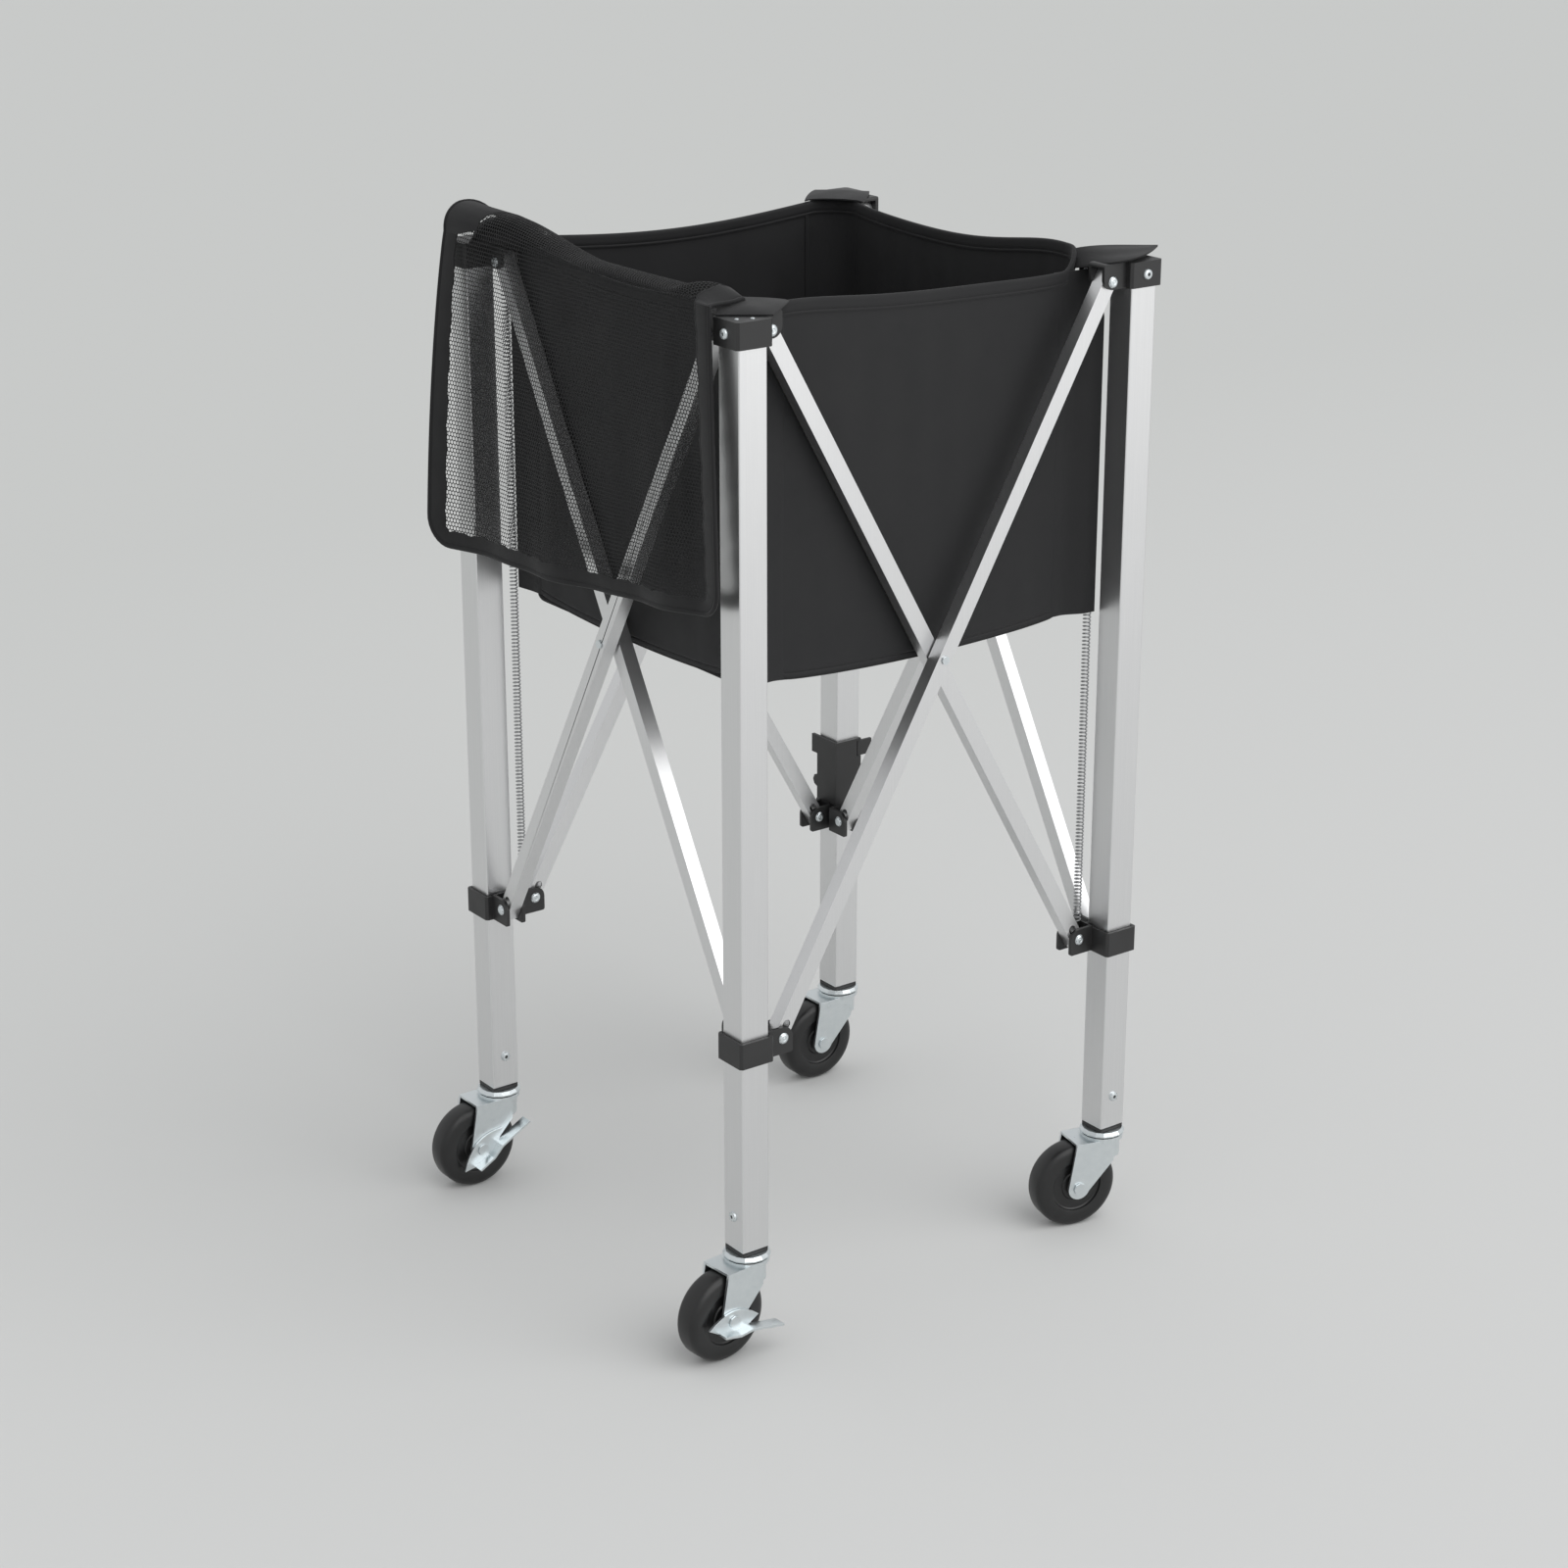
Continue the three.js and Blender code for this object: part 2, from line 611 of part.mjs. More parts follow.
// A caster's wheel about its own axle, with a flat facet at the bottom.
function casterWheel() {
  const rim = wheelRadius / Math.cos(Math.PI / wheelSteps);
  const boreRadius = (axleRadius + seatGap) / Math.cos(Math.PI / wheelSteps);
  const half = wheelWidth / 2;
  const right = [
    [boreRadius, half], [wheelHubRadius, half], [wheelHubRadius + wheelDishDepth / 2, half - wheelDishDepth],
    [wheelDishRadius, half - wheelDishDepth], [wheelDishRadius + wheelDishDepth, half - wheelDishDepth / 4],
    [rim - wheelShoulder, half - wheelDishDepth / 4], [rim, half - wheelShoulder],
  ];
  const left = right.map(([radius, y]) => [radius, -y]).reverse();
  const profile = [...right, ...left, right[0]].map(([radius, y]) => new THREE.Vector2(radius, y)).reverse();
  return new THREE.LatheGeometry(profile, wheelSteps).rotateY(Math.PI / wheelSteps);
}

// The axle, riveted outside the fork, and outside the brake lever where there is one.
function casterAxle(hasBrake) {
  const far = forkOuter + seatGap;
  const near = far + (hasBrake ? brakeSheet + seatGap : 0);
  const shaft = rod("y", axleRadius, -near - axleHeadHeight / 2, far + axleHeadHeight / 2, 0, 0, 0);
  const nearHead = rod("y", axleHeadRadius, -near - axleHeadHeight, -near, 0, 0, 0);
  const farHead = rod("y", axleHeadRadius, far, far + axleHeadHeight, 0, 0, 0);
  return joined(shaft, nearHead, farHead);
}

// A brake lever about the axle: a curved plate on the fork with a pedal bent outwards under it.
function brakeLever() {
  const face = -forkOuter - seatGap;
  const outline = new THREE.Shape();
  outline.moveTo(-brakeBack, 0);
  outline.quadraticCurveTo(-brakeBack / 2, brakeHubRadius, 0, brakeHubRadius);
  outline.quadraticCurveTo(brakeBack / 2, brakeHubRadius, brakeBack, -brakeSheet);
  outline.quadraticCurveTo(0, -2 * brakeHubRadius - brakeSheet, -brakeBack, 0);
  const plate = drawnAlongY(outline, face - brakeSheet, face);
  const bandTop = [
    [-brakeBack + brakeHubRadius, -brakeBelly / 2], [0, -brakeBelly + brakeSheet / 2],
    [brakeBack / 2, -brakeBelly + brakeSheet], [brakeReach, -brakeDrop],
  ];
  const bandFoot = bandTop.map(([x, z]) => [x, z - brakeSheet]).reverse();
  const pedalOutline = new THREE.Shape([...bandTop, ...bandFoot].map(([x, z]) => new THREE.Vector2(x, z)));
  const pedal = drawnAlongY(pedalOutline, face - brakeSheet - brakeWidth, face);
  const hole = bore("y", axleRadius + seatGap, -legWidth, legWidth, 0, 0, 0);
  const headRoom = bore("y", axleHeadRadius + seatGap, -2 * legWidth, face - brakeSheet, 0, 0, 0);
  return cut(joined(plate, pedal), hole, headRoom);
}

function addCasters() {
  for (const corner of corners) {
    const hasBrake = corner.brake !== null;
    const plugGroup = turnedGroup(corner.turns);
    const plugShape = casterPlug(corner.footScrewTurns);
    const plug = addPiece(plugGroup, "caster_plug_" + corner.name, plugShape, materials.plastic);
    plug.position.set(-halfPitch, -halfPitch, 0);
    const swivel = new THREE.Group();
    swivel.position.set(corner.x * halfPitch, corner.y * halfPitch, 0);
    swivel.rotation.z = THREE.MathUtils.degToRad(corner.yaw);
    cart.add(swivel);
    addPiece(swivel, "caster_raceway_" + corner.name, raceway(), materials.zinc);
    addPiece(swivel, "caster_fork_" + corner.name, casterFork(), materials.zinc);
    const wheel = addPiece(swivel, "caster_wheel_" + corner.name, casterWheel(), materials.wheel);
    const axle = addPiece(swivel, "caster_axle_" + corner.name, casterAxle(hasBrake), materials.zinc);
    const turning = [wheel, axle];
    if (hasBrake) {
      const lever = addPiece(swivel, "brake_lever_" + corner.name, brakeLever(), materials.zinc);
      lever.rotation.y = -THREE.MathUtils.degToRad(corner.brake);
      turning.push(lever);
    }
    for (const piece of turning) piece.position.set(-wheelTrail, 0, wheelRadius);
  }
}

// A coil spring about its own axis, with a straight end square to the collar and to the cap.
function liftSpring(foot, top) {
  const points = [];
  const coilFoot = foot + springWire;
  const coilTop = top - springWire;
  const turns = springTurns + 1 / 4;
  const steps = turns * springStepsPerTurn;
  const at = (share) => {
    const angle = Math.PI / 2 + share * turns * 2 * Math.PI;
    const height = coilFoot + share * (coilTop - coilFoot);
    return new THREE.Vector3(springRadius * Math.cos(angle), springRadius * Math.sin(angle), height);
  };
  points.push(at(0).setZ(foot));
  for (let i = 0; i <= steps; i++) points.push(at(i / steps));
  points.push(at(1).setZ(top));
  const gap = (coilTop - coilFoot) / turns - springWire;
  console.log("least gap between a spring's curls:", gap.toFixed(2), "mm");
  return tubeThrough(points, springWire / 2, springSides);
}

function addSprings() {
  const foot = collarPivotHeight + earRound + seatGap;
  const top = capTop - capHeight - seatGap;
  for (const corner of corners.filter(({ turns }) => turns % 2 === 1)) {
    const group = turnedGroup(corner.turns);
    const spring = addPiece(group, "lift_spring_" + corner.name, liftSpring(foot, top), materials.steel);
    spring.position.set(-halfPitch + springOut, -halfPitch + springSide, 0);
  }
}

// The latch housing: two walls along the leg's inner faces, with a thumb tab and a stop.
function latchHousing() {
  const inner = legHalf + slideGap;
  const outer = inner + hubWall;
  const foot = collarPivotHeight + earRound + seatGap;
  const top = foot + latchHeight;
  const plan = new THREE.Shape();
  plan.moveTo(outer, -legHalf);
  plan.lineTo(outer, outer);
  plan.lineTo(-legHalf, outer);
  plan.lineTo(-legHalf, inner);
  plan.lineTo(inner, inner);
  plan.lineTo(inner, -legHalf);
  const walls = raised(plan, foot, top);
  const tabStart = -legHalf - hubWall - latchTabReach;
  const tab = box(inner, outer, tabStart, -legHalf + cutOverrun, top - latchTabHeight, top);
  const bump = rod("x", latchBumpRadius, inner, outer, 0, -legHalf, foot + latchBumpRise);
  const leverTop = top - latchLeverDrop;
  const leverFoot = leverTop - latchLeverHeight;
  const pivotX = -legHalf + hubWall;
  const notchEnd = pivotX + hubWall / 2 + seatGap;
  const notch = box(-2 * legWidth, notchEnd, 0, 2 * legWidth, leverFoot - seatGap, leverTop + seatGap);
  const pinY = inner + hubWall / 2;
  const pinRoom = latchPinRadius + seatGap;
  const pinHole = bore("z", pinRoom, leverFoot - 2 * hubWall, top - seatGap, pivotX, pinY, 0);
  return cut(joined(walls, tab, bump), notch, pinHole);
}

// The latch lever, about its pin, which turns in the housing.
function latchLever() {
  const half = hubWall / 2;
  const reach = hubWall + hubWall + latchLeverReach;
  const grip = box(-reach, 0, -half, half, 0, latchLeverHeight);
  const root = rod("z", half, 0, latchLeverHeight, 0, 0, 0);
  const pin = rod("z", latchPinRadius, -hubWall / 2, latchLeverHeight + hubWall / 2, 0, 0, 0);
  return joined(grip, root, pin);
}

function addLatch() {
  const corner = corners[2];
  const group = turnedGroup(corner.turns);
  const housing = addPiece(group, "latch_housing", latchHousing(), materials.plastic);
  housing.position.set(-halfPitch, -halfPitch, 0);
  const lever = addPiece(group, "latch_lever", latchLever(), materials.plastic);
  const top = collarPivotHeight + earRound + seatGap + latchHeight;
  const across = legHalf + slideGap + hubWall / 2;
  const foot = top - latchLeverDrop - latchLeverHeight;
  lever.position.set(-halfPitch - legHalf + hubWall, -halfPitch + across, foot);
}

// The outline of one side of the bag in plan, from the middle of one corner to the middle of the next.
function sidePath(share) {
  const straight = 2 * (bagHalf - bagRound);
  const arc = (bagRound * Math.PI) / 4;
  const length = straight + 2 * arc;
  const gap = seatGap / 2;
  const along = gap + share * (length - 2 * gap);
  const centre = bagHalf - bagRound;
  const normal = new THREE.Vector2(0, -1);
  const foot = new THREE.Vector2(along - length / 2, -centre);
  if (along < arc || along > length - arc) {
    const over = along < arc ? along - arc : along - (length - arc);
    normal.rotateAround(new THREE.Vector2(), over / bagRound);
    foot.x = along < arc ? -centre : centre;
  }
  return { foot, normal };
}

// A side wall of the bag, whose rim sags between the corners.
function bagWallPanel() {
  return slab(bagColumns, bagRows, (share, down, side) => {
    const { foot, normal } = sidePath(share);
    const out = bagRound - side * bagWall;
    const rim = rimCorner - share * 2 * tabThickness - rimSag * Math.sin(Math.PI * share) ** 2;
    const height = rim + down * (bagFoot - rim);
    return new THREE.Vector3(foot.x + normal.x * out, foot.y + normal.y * out, height);
  });
}

// Half of the bag's floor, inside the walls, with its outer corners rounded.
function bagFloorHalf() {
  const half = bagHalf - bagWall - floorGap;
  const centre = half - floorRound;
  const plan = new THREE.Shape();
  plan.moveTo(-half, -seatGap / 2);
  plan.lineTo(-half, -centre);
  plan.absarc(-centre, -centre, floorRound, Math.PI, 1.5 * Math.PI);
  plan.lineTo(centre, -half);
  plan.absarc(centre, -centre, floorRound, -Math.PI / 2, 0);
  plan.lineTo(half, -seatGap / 2);
  return raised(plan, bagFoot, bagFoot + bagWall, roundSteps);
}

// The corner tab that lies over a leg's cap, about the leg's axis.
function cornerTab() {
  const inner = halfPitch - bagHalf + bagWall;
  const outer = capHalf + tabOverhang;
  const plan = new THREE.Shape();
  plan.moveTo(inner + bagRound - tabOverhang, inner);
  plan.lineTo(inner, inner + bagRound - tabOverhang);
  plan.lineTo(-outer, inner / 2);
  plan.lineTo(-outer, -outer);
  plan.lineTo(inner / 2, -outer);
  return raised(plan, capTop + seatGap, rimCorner).translate(-halfPitch, -halfPitch, 0);
}

function addBag() {
  sides.forEach((side, turns) => {
    const wall = joined(bagWallPanel(), cornerTab());
    addPiece(turnedGroup(turns), "bag_" + side + "_wall", wall, materials.fabric);
  });
  addPiece(turnedGroup(0), "bag_floor_front", bagFloorHalf(), materials.fabric);
  addPiece(turnedGroup(2), "bag_floor_rear", bagFloorHalf(), materials.fabric);
}

// The mesh lid: sewn along the left rim, over the bars, then hanging outside in soft folds.
function lidPoint(across, down) {
  const y = lidFrontY + across * (lidRearY - lidFrontY);
  const bulge = Math.max(0, 1 - Math.abs(y - bagHalf) / lidHumpSpan);
  const crest = lidBridge + lidHump * bulge * bulge * (3 - 2 * bulge);
  const straight = bagHalf - bagRound;
  const share = THREE.MathUtils.clamp((y + straight) / (2 * straight), 0, 1);
  const rim = rimCorner + seatGap - (rimSag + tabThickness) * Math.sin(Math.PI * share) ** 2;
  const foot = lidFootFront + across * (lidFootRear - lidFootFront);
  const inside = -bagHalf + lidThickness / 2;
  const outside = -bagHalf - lidOut;
  if (down < lidBendShare) {
    const over = down / lidBendShare;
    const x = inside + (outside - inside) * (1 - Math.cos(over * Math.PI)) / 2;
    const arch = Math.PI * lidArchShare;
    return new THREE.Vector3(x, y, rim + (crest - rim) * Math.sin(over * arch) / Math.sin(arch));
  }
  const fall = (down - lidBendShare) / (1 - lidBendShare);
  const wave = lidFoldDepth * fall * Math.sin(across * lidFolds * Math.PI) - lidFoldDepth * fall;
  return new THREE.Vector3(outside + wave, y, crest + fall * (foot - crest));
}

function meshLid() {
  const step = 1 / (4 * lidRows);
  return slab(lidColumns, lidRows, (across, down, side) => {
    const point = lidPoint(across, down);
    const before = lidPoint(across, Math.max(down - step, 0));
    const after = lidPoint(across, Math.min(down + step, 1));
    const out = new THREE.Vector3(after.z - before.z, 0, before.x - after.x).normalize();
    return point.addScaledVector(out, side * lidThickness);
  });
}

function addLid() {
  addPiece(cart, "mesh_lid", meshLid(), materials.mesh);
}

addLegs();
addBars();
addCasters();
addSprings();
addLatch();
addBag();
addLid();

// The origin is on the floor, under the middle of everything.
cart.updateMatrixWorld(true);
const reach = new THREE.Box3().setFromObject(cart, true);
const middle = reach.getCenter(new THREE.Vector3());
cart.position.set(-middle.x, -middle.y, -reach.min.z);
const size = reach.getSize(new THREE.Vector3());
console.log("the middle of the legs is at", (-middle.x).toFixed(3), (-middle.y).toFixed(3));
console.log("width, depth and height:", size.toArray().map((length) => length.toFixed(1)).join(" "));

export default cart;
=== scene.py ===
"""The looks of a folding ball cart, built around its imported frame.

Lengths are metres, but names that end in _MM and the points of a Shape are millimetres. Those points are
measured from the middle of the four legs, on the floor.
"""

import json
import math

import bpy
import numpy as np
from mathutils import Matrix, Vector


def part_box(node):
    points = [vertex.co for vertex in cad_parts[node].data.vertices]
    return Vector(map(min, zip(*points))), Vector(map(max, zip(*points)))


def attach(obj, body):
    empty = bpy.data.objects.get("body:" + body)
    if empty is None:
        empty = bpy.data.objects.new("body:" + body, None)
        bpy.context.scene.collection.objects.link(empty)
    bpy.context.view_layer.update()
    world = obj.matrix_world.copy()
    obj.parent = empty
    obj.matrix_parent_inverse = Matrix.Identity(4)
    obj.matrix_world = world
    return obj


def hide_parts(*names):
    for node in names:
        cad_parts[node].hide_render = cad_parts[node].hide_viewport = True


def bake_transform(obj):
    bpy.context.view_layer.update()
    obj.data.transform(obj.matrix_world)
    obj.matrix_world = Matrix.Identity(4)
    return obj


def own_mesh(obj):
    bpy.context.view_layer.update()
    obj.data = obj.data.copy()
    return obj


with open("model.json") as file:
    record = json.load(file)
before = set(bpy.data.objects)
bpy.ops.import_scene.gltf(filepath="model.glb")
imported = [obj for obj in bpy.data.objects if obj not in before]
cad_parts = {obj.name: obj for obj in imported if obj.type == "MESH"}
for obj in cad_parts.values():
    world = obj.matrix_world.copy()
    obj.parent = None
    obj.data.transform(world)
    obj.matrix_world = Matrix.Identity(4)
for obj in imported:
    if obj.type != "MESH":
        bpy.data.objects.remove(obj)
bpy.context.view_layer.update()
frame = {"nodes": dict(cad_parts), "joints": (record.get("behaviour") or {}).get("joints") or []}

MM = 0.001
CORNERS = ("front_left", "front_right", "rear_right", "rear_left")
SIDES = ("front", "right", "rear", "left")
JOINTS = {joint["name"]: joint for joint in frame["joints"]}
NODES = frame["nodes"]


def middle_of(node):
    low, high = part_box(node)
    return (low + high) / 2


LEGS = [middle_of("leg_" + corner) for corner in CORNERS]
CENTRE = sum(LEGS, Vector()) / len(LEGS)
HALF_PITCH_MM = (LEGS[1].x - LEGS[0].x) / 2 / MM

# Sizes that the frame gives, and a few that place pins and cloth in it.
LEG_LOW, LEG_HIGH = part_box("leg_front_left")
CAP_LOW, CAP_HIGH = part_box("top_cap_front_left")
COLLAR_LOW, COLLAR_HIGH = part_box("sliding_collar_front_left")
FLOOR_LOW, FLOOR_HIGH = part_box("bag_floor_front")
LEG_HALF_MM = (LEG_HIGH.x - LEG_LOW.x) / 2 / MM
CAP_TOP_MM = CAP_HIGH.z / MM
CAP_FOOT_MM = CAP_LOW.z / MM
CAP_PIN_MM = JOINTS["front_outer_bar_pivot"]["pos_m"][2] / MM
COLLAR_TOP_MM = COLLAR_HIGH.z / MM
COLLAR_PIN_RISE_MM = 13
COLLAR_PIN_MM = COLLAR_LOW.z / MM + COLLAR_PIN_RISE_MM
PIN_REACH_MM = 29
BAR_TILT = math.atan2(2 * (HALF_PITCH_MM - PIN_REACH_MM), CAP_PIN_MM - COLLAR_PIN_MM)
BAG_FOOT_MM = FLOOR_LOW.z / MM
FLOOR_INSET_MM = 2.5
BAG_HALF_MM = (FLOOR_HIGH.x - FLOOR_LOW.x) / 2 / MM + FLOOR_INSET_MM
LID_HINGE_MM = JOINTS["lid_hinge"]["pos_m"][2] / MM
LID_OUT_MM = (CENTRE.x - JOINTS["lid_hinge"]["pos_m"][0]) / MM


def place(turns, x, y, z):
    """A point in millimetres about the legs' middle, turned by quarter turns, in the frame's metres."""
    for _ in range(turns):
        x, y = -y, x
    return Vector((CENTRE.x + x * MM, CENTRE.y + y * MM, z * MM))


def placed(points, turns=0):
    """An array of millimetre points about the legs' middle in the frame's metres, after quarter turns."""
    points = np.array(points, float).reshape(-1, 3)
    for _ in range(turns):
        points = np.stack([-points[:, 1], points[:, 0], points[:, 2]], 1)
    return points * MM + np.array([CENTRE.x, CENTRE.y, 0])


def smooth(t):
    """A soft step from 0 to 1."""
    t = np.clip(t, 0, 1)
    return t * t * (3 - 2 * t)


# Meshes. An edge that turns by more than so many degrees stays sharp.
SHARP_DEG = 35
CLOTH_SHARP_DEG = 60
BAND_SHARP_DEG = 50
THREAD_SHARP_DEG = 80
WHEEL_SHARP_DEG = 30


def add_mesh(name, verts, faces, material, sharp_deg=SHARP_DEG):
    mesh = bpy.data.meshes.new(name)
    mesh.from_pydata([tuple(v) for v in verts], [], [tuple(int(i) for i in f) for f in faces])
    mesh.update()
    mesh.shade_smooth()
    mesh.set_sharp_from_angle(angle=math.radians(sharp_deg))
    piece = bpy.data.objects.new(name, mesh)
    bpy.context.scene.collection.objects.link(piece)
    mesh.materials.append(material)
    return piece


class Shape:
    """A growing list of points and faces, in millimetres."""

    def __init__(self):
        self.points = []
        self.faces = []

    def add(self, points, faces):
        start = len(self.points)
        self.points.extend([tuple(p) for p in points])
        self.faces.extend([tuple(start + i for i in f) for f in faces])

    def build(self, name, material, turns=0, sharp_deg=SHARP_DEG):
        return add_mesh(name, placed(self.points, turns), self.faces, material, sharp_deg)


def turned_over(faces):
    """The same faces, seen from their other side."""
    return [tuple(f[::-1]) for f in faces]


def grid_faces(columns, rows, closed_columns=False):
    """Quads of a grid whose point (i, j) is number i * rows + j."""
    faces = []
    for i in range(columns if closed_columns else columns - 1):
        k = (i + 1) % columns
        for j in range(rows - 1):
            faces.append((i * rows + j + 1, k * rows + j + 1, k * rows + j, i * rows + j))
    return faces


def closed_patch(top, bottom, columns, rows):
    """A closed slab between two grids of points, whose first grid is its upper or outer side."""
    shape = Shape()
    faces = grid_faces(columns, rows)
    shape.add(top, faces)
    shape.add(bottom, turned_over(faces))
    start = columns * rows
    ring = [i * rows for i in range(columns)]
    ring += [(columns - 1) * rows + j for j in range(1, rows)]
    ring += [i * rows + rows - 1 for i in range(columns - 2, -1, -1)]
    ring += [j for j in range(rows - 2, 0, -1)]
    shape.faces += [(a, b, start + b, start + a) for a, b in zip(ring, ring[1:] + ring[:1])]
    return shape


def lathe(profile, axis_x, axis_y, axis_z, centre, steps):
    """Turns (radius, height) pairs, from the top outwards, round axis_z through centre."""
    points = []
    for i in range(steps):
        angle = 2 * math.pi * i / steps
        spoke = axis_x * math.cos(angle) + axis_y * math.sin(angle)
        points.extend(centre + spoke * radius + axis_z * height for radius, height in profile)
    return points, grid_faces(steps, len(profile), closed_columns=True)


# The colour sockets of the Mix node, by number: it has others of the same names.
MIX_SHARE, MIX_LOW, MIX_HIGH, MIX_RESULT = 0, 6, 7, 2
# Materials. Noise scales are turns per metre, and each pair of colours is the darkest and the lightest one.
FINE_BUMP = 0.0001
CLOTH_BUMP = 0.0002
TUBE_LINES = (2600, 2600, 14)
TUBE_CLOUDS = 14
TUBE_COLOURS = ((0.70, 0.705, 0.71), (0.80, 0.80, 0.80))
TUBE_ROUGHNESS = (0.33, 0.46)
ZINC_PATCHES = 160
ZINC_MARKS = 900
ZINC_COLOURS = ((0.66, 0.71, 0.73), (0.78, 0.82, 0.83))
ZINC_ROUGHNESS = (0.27, 0.38)
WIRE_PATCHES = 300
WIRE_COLOURS = ((0.34, 0.345, 0.35), (0.46, 0.465, 0.47))
WIRE_ROUGHNESS = (0.3, 0.42)
PLASTIC_GRAIN = 2400
PLASTIC_CLOUDS = 60
PLASTIC_TINT = (1.0, 1.0, 1.02)
CLOTH_CLOUDS = 30
CLOTH_FUZZ = 1500
CLOTH_TINTS = ((1.0, 1.0, 1.08), (1.0, 1.0, 1.06))
CLOTH_ROUGHNESS = (0.62, 0.78)


def tinted(level, tint):
    return tuple(level * part for part in tint)


class Finish:
    """A Principled material with nodes added in a few words."""

    def __init__(self, name, **settings):
        self.material = bpy.data.materials.new(name)
        self.material.use_nodes = True
        self.tree = self.material.node_tree
        self.shader = self.tree.nodes["Principled BSDF"]
        self.where = self.add("ShaderNodeTexCoord").outputs["Object"]
        for socket, value in settings.items():
            self.shader.inputs[socket.replace("_", " ")].default_value = value

    def add(self, kind, inputs=(), **properties):
        node = self.tree.nodes.new(kind)
        for key, value in properties.items():
            setattr(node, key, value)
        for key, value in dict(inputs).items():
            self.set(node.inputs[key], value)
        return node

    def set(self, socket, value):
        if isinstance(value, bpy.types.NodeSocket):
            self.tree.links.new(value, socket)
        else:
            socket.default_value = value

    def noise(self, scale, detail=2.0, rough=0.5, rotation=(0, 0, 0), stretch=(1, 1, 1)):
        inputs = {"Vector": self.where, "Rotation": rotation, "Scale": stretch}
        where = self.add("ShaderNodeMapping", inputs).outputs["Vector"]
        inputs = {"Vector": where, "Scale": scale, "Detail": detail, "Roughness": rough}
        return self.add("ShaderNodeTexNoise", inputs).outputs["Fac"]

    def weave(self, axis, thread_mm):
        """Soft ridges along one axis, one for each thread."""
        apart = self.add("ShaderNodeSeparateXYZ", {"Vector": self.where}).outputs[axis]
        turns = self.sum(apart, math.pi / (thread_mm * MM), "MULTIPLY")
        wave = self.sum(turns, 0.0, "SINE")
        return self.sum(self.sum(wave, 0.25, "MULTIPLY"), 0.75)

    def span(self, value, low, high, from_low=0.3, from_high=0.7):
        inputs = {"Value": value, "From Min": from_low, "From Max": from_high, "To Min": low, "To Max": high}
        return self.add("ShaderNodeMapRange", inputs).outputs["Result"]

    def sum(self, first, second, kind="ADD"):
        node = self.add("ShaderNodeMath", operation=kind)
        self.set(node.inputs[0], first)
        self.set(node.inputs[1], second)
        return node.outputs[0]

    def colour(self, share, low, high):
        node = self.add("ShaderNodeMix", data_type="RGBA")
        self.set(node.inputs[MIX_SHARE], share)
        self.set(node.inputs[MIX_LOW], (*low, 1))
        self.set(node.inputs[MIX_HIGH], (*high, 1))
        self.set(self.shader.inputs["Base Color"], node.outputs[MIX_RESULT])

    def roughness(self, share, low, high):
        self.set(self.shader.inputs["Roughness"], self.span(share, low, high))

    def bump(self, height, strength, distance):
        inputs = {"Height": height, "Strength": strength, "Distance": distance}
        self.set(self.shader.inputs["Normal"], self.add("ShaderNodeBump", inputs).outputs["Normal"])


def aluminium(name, rotation=(0, 0, 0)):
    """Satin extruded tube, with fine draw lines along its length."""
    finish = Finish(name, Metallic=1.0)
    lines = finish.noise(1.0, detail=3, rough=0.6, rotation=rotation, stretch=TUBE_LINES)
    clouds = finish.noise(TUBE_CLOUDS, detail=3)
    finish.colour(lines, *TUBE_COLOURS)
    finish.roughness(finish.sum(lines, clouds, "MULTIPLY"), *TUBE_ROUGHNESS)
    finish.bump(lines, strength=0.12, distance=FINE_BUMP)
    return finish.material


def zinc():
    """Zinc plate: bright, a little blue, with soft patches and fine press marks."""
    finish = Finish("bright_zinc", Metallic=1.0)
    patches = finish.noise(ZINC_PATCHES, detail=4, rough=0.6)
    marks = finish.noise(ZINC_MARKS)
    finish.colour(patches, *ZINC_COLOURS)
    finish.roughness(patches, *ZINC_ROUGHNESS)
    finish.bump(marks, strength=0.1, distance=FINE_BUMP)
    return finish.material


def steel():
    """Drawn wire with soft patches."""
    finish = Finish("spring_wire", Metallic=1.0)
    patches = finish.noise(WIRE_PATCHES)
    finish.colour(patches, *WIRE_COLOURS)
    finish.roughness(patches, *WIRE_ROUGHNESS)
    return finish.material


def moulded(name, dark=0.014, light=0.026, rough=(0.38, 0.52), grain=0.25):
    """Black moulded plastic or rubber with a fine grain and soft changes of tone."""
    finish = Finish(name)
    fine = finish.noise(PLASTIC_GRAIN)
    clouds = finish.noise(PLASTIC_CLOUDS, detail=4, rough=0.6)
    finish.colour(clouds, (dark, dark, dark), tinted(light, PLASTIC_TINT))
    finish.roughness(clouds, *rough)
    finish.bump(fine, strength=grain, distance=FINE_BUMP)
    return finish.material


def woven(name, dark, light, thread_mm, sheen):
    """Plain black polyester: a fine weave, a soft sheen and slow changes of tone."""
    finish = Finish(name, Sheen_Weight=sheen, Sheen_Roughness=0.4, Specular_IOR_Level=0.35)
    weaves = [finish.weave(axis, thread_mm) for axis in (0, 1, 2)]
    weave = finish.sum(finish.sum(weaves[0], weaves[1], "MULTIPLY"), weaves[2], "MULTIPLY")
    clouds = finish.noise(CLOTH_CLOUDS, detail=4, rough=0.55)
    finish.colour(clouds, tinted(dark, CLOTH_TINTS[0]), tinted(light, CLOTH_TINTS[1]))
    finish.roughness(clouds, *CLOTH_ROUGHNESS)
    fuzz = finish.noise(CLOTH_FUZZ, detail=3, rough=0.6)
    finish.bump(finish.sum(weave, fuzz), strength=0.35, distance=CLOTH_BUMP)
    return finish.material


